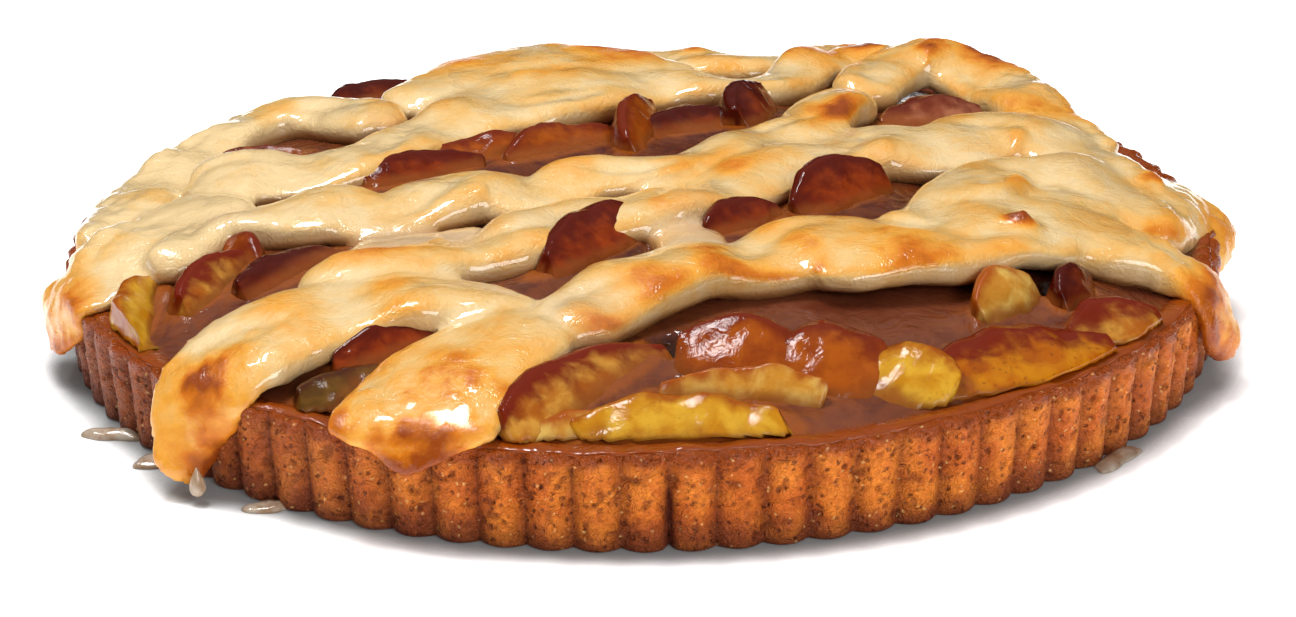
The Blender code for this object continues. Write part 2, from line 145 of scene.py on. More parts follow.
# Stretched places where the dough is thin and greyish: x, y, half-length, half-width, heading
THIN_PLACES: list[tuple[float, float, float, float, float]] = [
    (-52, -44, 26, 11, 8), (12, -44, 10, 20, 0), (-32, -74, 16, 9, 20), (-12, -93, 11, 12, 30),
    (32, -30, 16, 8, 45), (60, -8, 14, 8, 30), (-66, 40, 12, 7, 40), (-20, -66, 12, 8, 30),
    (96, 4, 12, 6, -20), (-96, -26, 10, 7, 10),
]
# Small lumps on the dough: x, y, radius, height
NUBS: list[tuple[float, float, float, float]] = [
    (86, -50, 3.6, 4.0), (-46, -50, 3.0, 1.6), (120, -44, 2.6, 1.2), (-100, -64, 2.6, 1.0),
]
# Hollows between the slices, where the gel sinks and its colour is painted dark as shade: x, y,
# radius, depth
HOLLOWS: list[tuple[float, float, float, float]] = [
    (6, -96, 4.5, 5.0), (91, -62, 3.6, 5.0), (-70, -104, 4.0, 3.0), (66, 88, 4.0, 4.0),
]


class Tone(Enum):
    """The looks of a baked apple slice."""

    RED_EDGED = "red_edged"
    PALE = "pale"
    YELLOW = "yellow"
    ORANGE = "orange"
    OCHRE = "ochre"
    BROWN = "brown"
    OLIVE = "olive"
    MAROON = "maroon"
    MAUVE = "mauve"


# An apple slice: x, y, lift of its back above the filling, heading in degrees, length, width
SLICES: list[tuple[float, float, float, float, float, float, Tone]] = [
    (-13, -113, 5.0, 45, 46, 13, Tone.RED_EDGED), (-14, -129, 2.8, 14, 26, 9, Tone.PALE),
    (10, -127, 4.5, 1, 42, 13, Tone.YELLOW), (19, -116, 4.0, 0, 34, 7, Tone.PALE),
    (20, -102, 6.0, -8, 26, 15, Tone.ORANGE), (41, -104, 6.0, 8, 24, 18, Tone.ORANGE),
    (54, -108, 5.0, -20, 22, 15, Tone.YELLOW), (81, -98, 5.0, 27, 46, 20, Tone.OCHRE),
    (80, -72, 6.0, 48, 20, 9, Tone.PALE), (96, -66, 6.0, 60, 16, 9, Tone.MAROON),
    (105, -77, 6.0, 30, 24, 15, Tone.RED_EDGED), (-54, -95, 4.0, 22, 26, 10, Tone.BROWN),
    (-62, -108, 3.0, 25, 24, 13, Tone.OLIVE), (-113, -58, 6.0, 88, 40, 9, Tone.YELLOW),
    (-98, -54, 6.0, 62, 28, 11, Tone.RED_EDGED), (-80, -51, 3.5, 40, 30, 13, Tone.MAROON),
    (-93, -40, 4.5, -50, 16, 9, Tone.ORANGE), (-11, -46, 7.0, 52, 42, 13, Tone.BROWN),
    (24, -33, 5.5, 40, 22, 11, Tone.BROWN), (47, -16, 9.0, 42, 30, 13, Tone.BROWN),
    (-56, 8, 4.0, 28, 32, 13, Tone.BROWN), (-40, 24, 4.0, 25, 30, 12, Tone.ORANGE),
    (-22, 26, 5.0, 38, 32, 13, Tone.ORANGE), (-1, 38, 7.5, 78, 30, 9, Tone.ORANGE),
    (14, 46, 4.0, 30, 26, 13, Tone.MAROON), (28, 54, 8.0, 72, 24, 12, Tone.MAROON),
    (76, 50, 4.5, 18, 28, 18, Tone.MAUVE), (57, 92, 2.5, 50, 26, 8, Tone.MAROON),
    (-76, 92, 5.0, 42, 30, 11, Tone.MAROON), (-97, 37, 2.0, 10, 22, 8, Tone.MAUVE),
]
# Their section, as shares of width and height: a long flat face, a sharp top and a round back
SLICE_OUTLINE = [(-0.62, -0.38), (-0.44, 0.04), (-0.14, 0.32), (0.12, 0.50), (0.28, 0.46),
                 (0.42, 0.12), (0.50, -0.40), (0.0, -0.50)]


# Numbers over whole arrays

def srgb(red: float, green: float, blue: float) -> tuple[float, float, float, float]:
    """A screen colour as the linear colour that Blender wants, with full alpha."""
    def linear(value: float) -> float:
        """One channel, by the screen's own curve."""
        return value / 12.92 if value <= 0.04045 else ((value + 0.055) / 1.055) ** 2.4
    return linear(red), linear(green), linear(blue), 1.0


def smooth_step(value: np.ndarray) -> np.ndarray:
    """Ease from 0 to 1: 3 t squared less 2 t cubed, held at both ends."""
    held = np.clip(value, 0.0, 1.0)
    return held * held * (3.0 - 2.0 * held)


def value_noise(points: np.ndarray, spacing: float, seed: int) -> np.ndarray:
    """Smooth noise: a random number at each corner of a cubic lattice, eased in between.

    Args:
        points: places, as rows of x, y, z.
        spacing: side of a lattice cell, in the points' own unit.
        seed: picks another set of random numbers.

    Returns:
        One number for each point, from -1 to 1.
    """
    scaled = points / spacing + 4096.0
    cell = np.floor(scaled).astype(np.int64)
    part = scaled - cell
    ease = part ** 3 * (part * (part * 6.0 - 15.0) + 10.0)
    total = np.zeros(len(points))
    for corner in range(8):
        step = np.array([corner & 1, corner >> 1 & 1, corner >> 2 & 1])
        key = (cell + step) @ np.array([73856093, 19349663, 83492791]) + seed * 40503
        key = (key ^ key >> 13) * 1274126177 & 0x7FFFFFFFFFFF
        key = (key ^ key >> 17) * 668265263 & 0x7FFFFFFFFFFF
        weight = np.prod(np.where(step == 1, ease, 1.0 - ease), axis=1)
        total += weight * ((key >> 9) % 65536 / 32768.0 - 1.0)
    return total


def fractal(points: np.ndarray, spacing: float, seed: int, octaves: int = 3) -> np.ndarray:
    """Noise of several sizes: each octave has half the spacing and half the height."""
    layers = [0.5 ** i * value_noise(points, spacing * 0.5 ** i, seed + i) for i in range(octaves)]
    return sum(layers) / sum(0.5 ** i for i in range(octaves))


def spline(stations: list[tuple[float, ...]], step: float) -> np.ndarray:
    """Points about a step apart on the Catmull-Rom curve through the stations, in all columns."""
    rows = np.array(stations, float)
    rows = np.vstack([2 * rows[0] - rows[1], rows, 2 * rows[-1] - rows[-2]])
    made = []
    for a, b, c, d in zip(rows, rows[1:], rows[2:], rows[3:]):
        count = max(1, round(float(np.linalg.norm((c - b)[:3])) / step))
        t = (np.arange(count) / count)[:, None]
        made.append(0.5 * (2 * b + (c - a) * t + (2 * a - 5 * b + 4 * c - d) * t * t
                           + (3 * b - a - 3 * c + d) * t ** 3))
    return np.vstack(made + [rows[-2:-1]])


def around_axis(angle: np.ndarray) -> np.ndarray:
    """Points at each angle of the unit circle round the pie's axis, as rows of x, y, 0."""
    return np.column_stack([np.cos(angle), np.sin(angle), np.zeros(len(angle))])


def in_heading(x: np.ndarray, y: np.ndarray, heading: float) -> tuple[np.ndarray, np.ndarray]:
    """How far a plan offset reaches along a heading in degrees, and across it to its left."""
    turn = math.radians(heading)
    return (x * math.cos(turn) + y * math.sin(turn), y * math.cos(turn) - x * math.sin(turn))


def closed_spline(outline: list[tuple[float, float]], count: int, flatness: float) -> np.ndarray:
    """Points at even steps of the parameter round a closed outline.

    They lie between the Catmull-Rom curve through its corners, at flatness 0, and the
    straight lines from corner to corner, at 1.
    """
    rows = np.array(outline, float)
    place = np.arange(count) / count * len(rows)
    index = place.astype(int)
    t = (place - index)[:, None]
    a, b, c, d = (rows[(index + k) % len(rows)] for k in (-1, 0, 1, 2))
    curve = 0.5 * (2 * b + (c - a) * t + (2 * a - 5 * b + 4 * c - d) * t * t
                   + (3 * b - a - 3 * c + d) * t ** 3)
    return curve + (b + (c - b) * t - curve) * flatness


def filling_dome(radius: np.ndarray) -> np.ndarray:
    """Height of the filling: its edge plus the rise times 1 - (r / radius) to the dome's power."""
    share = np.minimum(radius / FILLING_RADIUS, 1.0)
    return FILLING_EDGE + FILLING_RISE * (1.0 - share ** DOME_POWER)


def net_dome(radius: np.ndarray) -> np.ndarray:
    """Height that the net's crests follow: like the filling's dome, higher, and on over the rim."""
    share = np.minimum(radius / RIM_RADIUS, 1.1)
    return WALL_HEIGHT + NET_EDGE + NET_RISE * (1.0 - share ** DOME_POWER)


def leaned(points: np.ndarray) -> np.ndarray:
    """The pie is baked higher at +X: z grows by the lean's share of x over the rim's radius."""
    moved = points.copy()
    moved[:, 2] *= 1.0 + LEAN * moved[:, 0] / RIM_RADIUS
    return moved


def rim_wave(points: np.ndarray) -> np.ndarray:
    """How far the worn rim rises or falls, which the gel that lies on it follows."""
    return RIM_WAVES * (fractal(points, 7.0, 31) - 0.25)


# Meshes

@dataclass
class Skin:
    """A closed surface: rings of points, each closed on itself, and a pole at each end."""

    rings: np.ndarray
    first: np.ndarray
    last: np.ndarray

    def points(self) -> np.ndarray:
        """All points as rows: the rings in order, then the two poles."""
        return np.vstack([self.rings.reshape(-1, 3), self.first, self.last])

    def faces(self) -> list[list[int]]:
        """Four-sided faces between the rings and a fan of triangles at each pole."""
        rows, columns = self.rings.shape[:2]
        index = np.arange(rows * columns).reshape(rows, columns)
        right = np.roll(index, -1, axis=1)
        quads = np.stack([index[:-1], right[:-1], right[1:], index[1:]], axis=-1).reshape(-1, 4)
        pole = np.full(columns, rows * columns)
        fans = [np.stack([pole, right[0], index[0]], axis=-1),
                np.stack([pole + 1, index[-1], right[-1]], axis=-1)]
        return quads.tolist() + np.vstack(fans).tolist()


def new_piece(name: str, points: np.ndarray, faces: list[list[int]],
              marks: dict[str, np.ndarray] | None = None) -> bpy.types.Object:
    """Make an object of points in millimetres, with its faces outwards.

    Args:
        name: the piece's name.
        points: rows of x, y, z in millimetres.
        faces: rows of point numbers.
        marks: numbers kept at each point for its material, by attribute name.

    Returns:
        The new object, linked to the scene.
    """
    mesh = bpy.data.meshes.new(name)
    mesh.from_pydata((points * MM).tolist(), [], faces)
    made = bmesh.new()
    made.from_mesh(mesh)
    bmesh.ops.recalc_face_normals(made, faces=made.faces)
    made.to_mesh(mesh)
    made.free()
    set_marks(mesh, marks or {})
    mesh.shade_smooth()
    piece = bpy.data.objects.new(name, mesh)
    bpy.context.scene.collection.objects.link(piece)
    return piece


def set_marks(mesh: bpy.types.Mesh, marks: dict[str, np.ndarray]) -> None:
    """Keep each mark as a number at every point of a mesh."""
    for label, values in marks.items():
        layer = mesh.attributes.new(label, "FLOAT", "POINT")
        layer.data.foreach_set("value", np.asarray(values, np.float32))


def place_piece(piece: bpy.types.Object, material: bpy.types.Material, slot: str,
                *nodes: str) -> None:
    """Dress a piece, let it ride on the pie, and hide the solids that it stands for."""
    piece.data.materials.clear()
    piece.data.materials.append(material)
    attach(piece, ROOT)
    if nodes:
        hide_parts(*nodes)
    LOG.info("%s: %d faces", piece.name, len(piece.data.polygons))


# Materials

class Tree:
    """A node tree that is filled by short calls."""

    def __init__(self, nodes: bpy.types.NodeTree) -> None:
        """Start on a material's or a group's tree."""
        self.tree = nodes

    def add(self, kind: str, **inputs: object) -> bpy.types.Node:
        """A node of a kind; inputs with an underscore for a space are values or sockets to link."""
        node = self.tree.nodes.new("ShaderNode" + kind)
        for label, value in inputs.items():
            self.feed(node, label.replace("_", " "), value)
        return node

    def feed(self, node: bpy.types.Node, label: str | int, value: object) -> None:
        """Set one input of a node, or link it where the value is another node's socket."""
        socket = node.inputs[label]
        if isinstance(value, bpy.types.NodeSocket):
            self.tree.links.new(value, socket)
        else:
            socket.default_value = value

    def maths(self, operation: str, *values: object, clamp: bool = False) -> bpy.types.NodeSocket:
        """A Math node's result."""
        node = self.tree.nodes.new("ShaderNodeMath")
        node.operation = operation
        node.use_clamp = clamp
        for index, value in enumerate(values):
            self.feed(node, index, value)
        return node.outputs[0]

    def mixed(self, share: object, low: object, high: object) -> bpy.types.NodeSocket:
        """Colour between low and high."""
        node = self.tree.nodes.new("ShaderNodeMix")
        node.data_type = "RGBA"
        for label, value in ((0, share), (6, low), (7, high)):
            self.feed(node, label, value)
        return node.outputs[2]

    def between(self, value: object, start: float, end: float, low: float = 0.0,
                high: float = 1.0) -> bpy.types.NodeSocket:
        """Carry a value from start..end over to low..high, smoothly and held at both ends."""
        node = self.add("MapRange", From_Min=start, From_Max=end, To_Min=low, To_Max=high)
        node.interpolation_type = "SMOOTHSTEP"
        self.feed(node, 0, value)
        return node.outputs[0]

    def mark(self, name: str) -> bpy.types.NodeSocket:
        """A number kept at the mesh's points."""
        node = self.tree.nodes.new("ShaderNodeAttribute")
        node.attribute_name = name
        return node.outputs["Fac"]

    def here(self) -> bpy.types.NodeSocket:
        """Object coordinates, which are metres in the pie's own frame."""
        return self.add("TexCoord").outputs["Object"]

    def group(self, name: str, **inputs: object) -> bpy.types.Node:
        """Place one of the shared node groups."""
        node = self.tree.nodes.new("ShaderNodeGroup")
        node.node_tree = bpy.data.node_groups[name]
        for label, value in inputs.items():
            self.feed(node, label.replace("_", " "), value)
        return node

    def pattern(self, name: str, **inputs: object) -> bpy.types.NodeSocket:
        """What a shared node group puts out over the object's own coordinates."""
        return self.group(name, Vector=self.here(), **inputs).outputs[0]


def new_group(name: str, inputs: list[tuple[str, float]], outputs: list[str]
              ) -> tuple[Tree, bpy.types.Node, bpy.types.Node]:
    """An empty shader node group with a Vector input, float inputs and float outputs."""
    group = bpy.data.node_groups.new(name, "ShaderNodeTree")
    group.interface.new_socket("Vector", in_out="INPUT", socket_type="NodeSocketVector")
    for label, value in inputs:
        socket = group.interface.new_socket(label, in_out="INPUT", socket_type="NodeSocketFloat")
        socket.default_value = value
    for label in outputs:
        group.interface.new_socket(label, in_out="OUTPUT", socket_type="NodeSocketFloat")
    return Tree(group), group.nodes.new("NodeGroupInput"), group.nodes.new("NodeGroupOutput")


def build_patches_group() -> None:
    """Soft uneven patches: noise held between Low and High, then carried over to 0 to 1."""
    tree, given, result = new_group("patches", [("Size", 10.0), ("Low", 0.35), ("High", 0.65)],
                                    ["Mask"])
    scale = tree.maths("DIVIDE", 1000.0, given.outputs["Size"])
    noise = tree.add("TexNoise", Vector=given.outputs["Vector"], Scale=scale, Detail=4.0,
                     Distortion=0.4)
    ranged = tree.add("MapRange", From_Min=given.outputs["Low"], From_Max=given.outputs["High"])
    ranged.interpolation_type = "SMOOTHSTEP"
    tree.feed(ranged, 0, noise.outputs[0])
    tree.feed(result, "Mask", ranged.outputs[0])


def build_specks_group() -> None:
    """Small round specks: the middle of Voronoi cells, kept in some of the cells only."""
    tree, given, result = new_group("specks", [("Size", 2.0), ("Reach", 0.3), ("Share", 0.4)],
                                    ["Mask"])
    scale = tree.maths("DIVIDE", 1000.0, given.outputs["Size"])
    bent = tree.add("TexNoise", Vector=given.outputs["Vector"], Scale=scale, Detail=1.0)
    shift = tree.add("VectorMath")
    shift.operation = "MULTIPLY_ADD"
    tree.feed(shift, 0, bent.outputs["Color"])
    tree.feed(shift, 1, (0.0012, 0.0012, 0.0012))
    tree.feed(shift, 2, given.outputs["Vector"])
    cells = tree.add("TexVoronoi", Vector=shift.outputs[0], Scale=scale)
    chosen = tree.add("SeparateColor", Color=cells.outputs["Color"])
    kept = tree.maths("LESS_THAN", chosen.outputs[0], given.outputs["Share"])
    inside = tree.add("MapRange", From_Min=given.outputs["Reach"], From_Max=0.0)
    tree.feed(inside, 0, cells.outputs["Distance"])
    tree.feed(result, "Mask", tree.maths("MULTIPLY", kept, inside.outputs[0]))


def build_wrinkles_group() -> None:
    """Fine skin wrinkles: ridges of a bent noise, as a height from 0 to 1."""
    tree, given, result = new_group("wrinkles", [("Size", 3.0), ("Sharpness", 1.0)], ["Height"])
    scale = tree.maths("DIVIDE", 1000.0, given.outputs["Size"])
    noise = tree.add("TexNoise", Vector=given.outputs["Vector"], Scale=scale, Detail=3.0,
                     Distortion=1.2)
    centred = tree.maths("SUBTRACT", noise.outputs[0], 0.5)
    ridge = tree.maths("MULTIPLY", tree.maths("ABSOLUTE", centred), 4.0)
    tree.feed(result, "Height", tree.maths("POWER", ridge, given.outputs["Sharpness"]))


def new_material(name: str, **uniform: object) -> tuple[bpy.types.Material, Tree, bpy.types.Node]:
    """A material with its Principled shader, and the values that are the same all over it."""
    made = bpy.data.materials.new(name)
    made.use_nodes = True
    shader = made.node_tree.nodes["Principled BSDF"]
    tree = Tree(made.node_tree)
    for label, value in uniform.items():
        tree.feed(shader, label.replace("_", " "), value)
    return made, tree, shader


def add_bump(tree: Tree, shader: bpy.types.Node, layers: list[tuple[object, float, float]]) -> None:
    """Chain Bump nodes into the shader's normal: rows of height, strength and depth in mm."""
    normal = None
    for height, strength, depth in layers:
        bump = tree.add("Bump", Strength=strength, Distance=depth * MM, Height=height)
        if normal is not None:
            tree.feed(bump, "Normal", normal)
        normal = bump.outputs[0]
    tree.feed(shader, "Normal", normal)


@dataclass(frozen=True)
class DoughFinish:
    """Egg-washed dough: cream where pale, golden to brown where it has caught the heat."""

    pale: tuple[float, ...] = srgb(0.89, 0.77, 0.56)
    cream: tuple[float, ...] = srgb(0.88, 0.70, 0.41)
    golden: tuple[float, ...] = srgb(0.88, 0.61, 0.22)
    browned: tuple[float, ...] = srgb(0.78, 0.43, 0.08)
    dark: tuple[float, ...] = srgb(0.56, 0.25, 0.05)
    thin: tuple[float, ...] = srgb(0.74, 0.61, 0.49)
    stained: tuple[float, ...] = srgb(0.64, 0.45, 0.26)

    def material(self) -> bpy.types.Material:
        """Browning from the mark "brown" and patches; grey where thin; glossy, wrinkled skin."""
        made, tree, shader = new_material(
            "egg_washed_dough", Subsurface_Weight=0.12, Subsurface_Scale=0.003,
            Subsurface_Radius=(1.0, 0.7, 0.4), IOR=1.45, Specular_IOR_Level=0.3,
            Coat_Roughness=0.05, Coat_IOR=1.6)
        patch = tree.pattern("patches", Size=14.0, Low=0.3, High=0.7)
        small = tree.pattern("patches", Size=3.5, Low=0.3, High=0.7)
        level = tree.maths("MULTIPLY_ADD", patch, 0.22, tree.mark("brown"))
        level = tree.maths("MULTIPLY_ADD", small, 0.08, level)
        ramp = tree.add("ValToRGB", Fac=level)
        stops = ((0.12, self.pale), (0.32, self.cream), (0.55, self.golden), (0.76, self.browned),
                 (1.0, self.dark))
        while len(ramp.color_ramp.elements) < len(stops):
            ramp.color_ramp.elements.new(0.5)
        for element, (place, colour) in zip(ramp.color_ramp.elements, stops):
            element.position = place
            element.color = colour
        colour = tree.mixed(tree.mark("thin"), ramp.outputs[0], self.thin)
        colour = tree.mixed(tree.mark("stain"), colour, self.stained)
        tree.feed(shader, "Base Color", colour)
        gloss = tree.pattern("patches", Size=20.0, Low=0.42, High=0.58)
        tree.feed(shader, "Roughness", tree.between(gloss, 0.0, 1.0, 0.12, 0.45))
        tree.feed(shader, "Coat Weight", tree.between(tree.mark("brown"), 0.2, 0.55, 0.8, 0.05))
        wrinkles = tree.pattern("wrinkles", Size=6.0, Sharpness=0.8)
        fine = tree.pattern("wrinkles", Size=2.2, Sharpness=1.0)
        add_bump(tree, shader, [(wrinkles, 0.35, 0.50), (fine, 0.45, 0.22)])
        return made


@dataclass(frozen=True)
class CrustFinish:
    """Short crust: orange-brown and porous, darker at the foot and on the rim, with painted shade
    in the grooves, pits and pores and on its -X side.
    """

    front: tuple[float, ...] = srgb(0.90, 0.51, 0.14)
    # Painted shade: the duller colour that the -X side of the wall is given
    toasted: tuple[float, ...] = srgb(0.76, 0.36, 0.07)
    # Dark colour for painted shade in the grooves, the crack, the pits and the pores, and for the
    # scorched foot
    mauve: tuple[float, ...] = srgb(0.42, 0.22, 0.16)
    shade_and_scorch: tuple[float, ...] = srgb(0.36, 0.12, 0.03)
    rim: tuple[float, ...] = srgb(0.58, 0.25, 0.04)
    # Painted glints: the pale colour of wet sugar crystals' specks, standing in for their sparkle
    sugar_glint: tuple[float, ...] = srgb(1.0, 0.80, 0.50)
    foot: tuple[float, ...] = srgb(0.42, 0.18, 0.09)

    def material(self) -> bpy.types.Material:
        """Colour from patches, painted shade on the -X side of the pie and in the pores, painted
        glints as pale specks of sugar crystals, and crumb.
        """
        made, tree, shader = new_material("short_crust", IOR=1.45, Specular_IOR_Level=0.3)
        place = tree.add("SeparateXYZ", Vector=tree.here())
        patch = tree.pattern("patches", Size=9.0, Low=0.35, High=0.65)
        colour = tree.mixed(patch, self.front, self.toasted)
        # Painted shade: the wall is mixed towards mauve on its -X side
        left = tree.between(place.outputs[0], -0.02, -0.13)
        colour = tree.mixed(tree.maths("MULTIPLY", left, 0.85), colour, self.mauve)
        grain = tree.pattern("patches", Size=1.6, Low=0.3, High=0.75)
        colour = tree.mixed(tree.maths("MULTIPLY", grain, 0.55), colour, self.toasted)
        # Pores: specks sunk by the bump below and painted dark as shade
        pores = tree.pattern("specks", Size=1.7, Reach=0.38, Share=0.6)
        colour = tree.mixed(tree.maths("MULTIPLY", pores, 0.9, clamp=True), colour, self.shade_and_scorch)
        # Painted shade in the pits that the wall is pressed in by
        colour = tree.mixed(tree.maths("MULTIPLY", tree.mark("pit_shade"), 0.6), colour, self.shade_and_scorch)
        # Painted shade in the flutes' grooves and the crack, with the scorched foot
        colour = tree.mixed(tree.mark("shade_and_scorch"), colour, self.shade_and_scorch)
        colour = tree.mixed(tree.mark("rim"), colour, self.rim)
        low = tree.maths("MULTIPLY_ADD", patch, -0.003, place.outputs[2])
        low = tree.between(low, 0.008, -0.001, 0.0, 0.75)
        colour = tree.mixed(low, colour, self.foot)
        # Painted glints: sugar crystals as pale specks, which are also less rough
        sugar_glint = tree.pattern("specks", Size=1.5, Reach=0.30, Share=0.22)
        colour = tree.mixed(tree.maths("MULTIPLY", sugar_glint, 0.7), colour, self.sugar_glint)
        tree.feed(shader, "Base Color", colour)
        dull = tree.maths("SUBTRACT", 0.48, tree.maths("MULTIPLY", tree.mark("rim"), 0.36))
        dull = tree.maths("MULTIPLY_ADD", sugar_glint, -0.35, dull)
        dull = tree.maths("MAXIMUM", dull, 0.08)
        tree.feed(shader, "Roughness", dull)
        crumb = tree.pattern("wrinkles", Size=1.8, Sharpness=0.7)
        fine = tree.pattern("patches", Size=0.6, Low=0.3, High=0.7)
        sunk = tree.maths("SUBTRACT", 1.0, pores)
        add_bump(tree, shader, [(crumb, 0.8, 0.6), (sunk, 0.8, 0.8), (fine, 0.5, 0.25)])
        return made


@dataclass(frozen=True)
class GelFinish:
    """Cooked gel: mauve or maroon in patches, milky in front, amber by fruit, brown on the rim."""

    mauve: tuple[float, ...] = srgb(0.33, 0.14, 0.08)
    maroon: tuple[float, ...] = srgb(0.26, 0.08, 0.04)
    amber: tuple[float, ...] = srgb(0.62, 0.32, 0.07)
    milky: tuple[float, ...] = srgb(0.42, 0.22, 0.14)
    rim: tuple[float, ...] = srgb(0.53, 0.23, 0.03)
    # Painted shade: the dark colour put into the hollows between the slices
    hollow: tuple[float, ...] = srgb(0.14, 0.08, 0.03)

    def material(self) -> bpy.types.Material:
        """Colours by patches and by the marks for haze, fruit, the hollows and the edge; the
        hollows get painted shade, a dark colour where the gel sinks. A wet skin.
        """
        made, tree, shader = new_material(
            "apple_gel", Subsurface_Weight=0.25, Subsurface_Scale=0.004,
            Subsurface_Radius=(1.0, 0.4, 0.25), Specular_IOR_Level=0.4, IOR=1.45)
        patch = tree.pattern("patches", Size=18.0, Low=0.35, High=0.62)
        colour = tree.mixed(patch, self.maroon, self.mauve)
        film = tree.pattern("patches", Size=11.0, Low=0.35, High=0.6)
        haze = tree.maths("MULTIPLY_ADD", film, 0.5, 0.4)
        colour = tree.mixed(tree.maths("MULTIPLY", haze, tree.mark("haze")), colour, self.milky)
        small = tree.pattern("patches", Size=5.0, Low=0.35, High=0.6)
        fruit = tree.maths("MULTIPLY", tree.mark("fruit"), small)
        colour = tree.mixed(tree.maths("MULTIPLY", fruit, 0.3), colour, self.amber)
        close = tree.between(tree.mark("fruit"), 0.8, 1.0, 0.0, 0.5)
        colour = tree.mixed(close, colour, self.amber)
        # Painted shade in the hollows between the slices
        colour = tree.mixed(tree.mark("hollow"), colour, self.hollow)
        colour = tree.mixed(tree.mark("edge"), colour, self.rim)
        tree.feed(shader, "Base Color", colour)
        tree.feed(shader, "Roughness", tree.between(patch, 0.0, 1.0, 0.05, 0.12))
        ripples = tree.pattern("wrinkles", Size=9.0, Sharpness=1.0)
        fine = tree.pattern("patches", Size=1.2, Low=0.3, High=0.7)
        add_bump(tree, shader, [(ripples, 0.25, 1.2), (fine, 0.06, 0.15)])
        return made


@dataclass(frozen=True)
class AppleFinish:
    """A baked apple slice: its cut face, its darker back, and cinnamon."""

    face: tuple[float, ...]
    flesh: tuple[float, ...]
    back: tuple[float, ...]
    back_start: float = 0.62
    cinnamon: float = 0.35
    spice: tuple[float, ...] = srgb(0.36, 0.15, 0.05)
    gel: tuple[float, ...] = srgb(0.52, 0.27, 0.10)

    def material(self, tone: Tone) -> bpy.types.Material:
        """Face and flesh in patches, the back's colour above a wavy line, specks all over."""
        made, tree, shader = new_material(
            f"apple_{tone.value}", Subsurface_Weight=0.2, Subsurface_Scale=0.004,
            Subsurface_Radius=(1.0, 0.6, 0.3), Specular_IOR_Level=0.22, IOR=1.45)
        patch = tree.pattern("patches", Size=6.0, Low=0.35, High=0.65)
        colour = tree.mixed(patch, self.face, self.flesh)
        wave = tree.pattern("patches", Size=5.0, Low=0.2, High=0.8)
        upper = tree.maths("MULTIPLY_ADD", wave, 0.3, tree.mark("upper"))
        upper = tree.between(upper, self.back_start, self.back_start + 0.35)
        colour = tree.mixed(upper, colour, self.back)
        specks = tree.pattern("specks", Size=1.3, Reach=0.35, Share=0.4)
        specks = tree.maths("MULTIPLY", specks, self.cinnamon)
        colour = tree.mixed(specks, colour, self.spice)
        bathed = tree.maths("MULTIPLY_ADD", wave, 0.4, tree.mark("bathed"))
        colour = tree.mixed(tree.between(bathed, 0.4, 1.3, 0.0, 0.85), colour, self.gel)
        tree.feed(shader, "Base Color", colour)
        tree.feed(shader, "Roughness", tree.between(patch, 0.0, 1.0, 0.03, 0.10))
        fibres = tree.pattern("wrinkles", Size=3.0, Sharpness=0.8)
        fine = tree.pattern("patches", Size=0.9, Low=0.3, High=0.7)
        add_bump(tree, shader, [(fibres, 0.12, 0.5), (fine, 0.06, 0.15)])
        return made


APPLE_FINISHES: dict[Tone, AppleFinish] = {
    Tone.RED_EDGED: AppleFinish(srgb(0.75, 0.53, 0.20), srgb(0.62, 0.33, 0.06),
                                srgb(0.42, 0.11, 0.02), 0.80),
    Tone.PALE: AppleFinish(srgb(0.82, 0.67, 0.34), srgb(0.74, 0.50, 0.16),
                           srgb(0.60, 0.29, 0.06), 0.95, 0.2),
    Tone.YELLOW: AppleFinish(srgb(0.80, 0.61, 0.17), srgb(0.71, 0.47, 0.06),
                             srgb(0.58, 0.28, 0.03), 1.0, 0.3),
    Tone.ORANGE: AppleFinish(srgb(0.62, 0.30, 0.04), srgb(0.52, 0.21, 0.02),
                             srgb(0.42, 0.13, 0.03), 0.90),
    Tone.OCHRE: AppleFinish(srgb(0.72, 0.45, 0.04), srgb(0.64, 0.33, 0.02),
                            srgb(0.42, 0.11, 0.01), 0.84, 0.75),
    Tone.BROWN: AppleFinish(srgb(0.56, 0.21, 0.03), srgb(0.44, 0.13, 0.015),
                            srgb(0.33, 0.07, 0.01), 0.82),
    Tone.OLIVE: AppleFinish(srgb(0.42, 0.29, 0.09), srgb(0.31, 0.20, 0.06),
                            srgb(0.25, 0.10, 0.03), 0.95),
    Tone.MAROON: AppleFinish(srgb(0.46, 0.17, 0.04), srgb(0.36, 0.10, 0.02),
                             srgb(0.27, 0.05, 0.01), 0.80, 0.2),
    Tone.MAUVE: AppleFinish(srgb(0.62, 0.38, 0.26), srgb(0.50, 0.25, 0.15),
                            srgb(0.38, 0.13, 0.06), 0.92, 0.2),
}


@dataclass(frozen=True)
class ClearGelFinish:
    """Thin gel that has run clear: glassy, with a faint warm tint."""

    tint: tuple[float, ...] = srgb(0.90, 0.84, 0.76)
    cloudy: tuple[float, ...] = srgb(0.72, 0.58, 0.44)

    def material(self) -> bpy.types.Material:
        """Nearly clear, with cloudy patches that let less light through."""
        made, tree, shader = new_material("clear_gel", Transmission_Weight=0.45, IOR=1.38,
                                          Coat_Weight=0.5, Coat_Roughness=0.04)
        cloud = tree.pattern("patches", Size=4.0, Low=0.3, High=0.7)
        tree.feed(shader, "Base Color", tree.mixed(cloud, self.tint, self.cloudy))
        tree.feed(shader, "Roughness", tree.between(cloud, 0.0, 1.0, 0.05, 0.18))
        fine = tree.pattern("wrinkles", Size=3.0, Sharpness=1.0)
        add_bump(tree, shader, [(fine, 0.3, 0.3)])
        return made


# Sub-assemblies

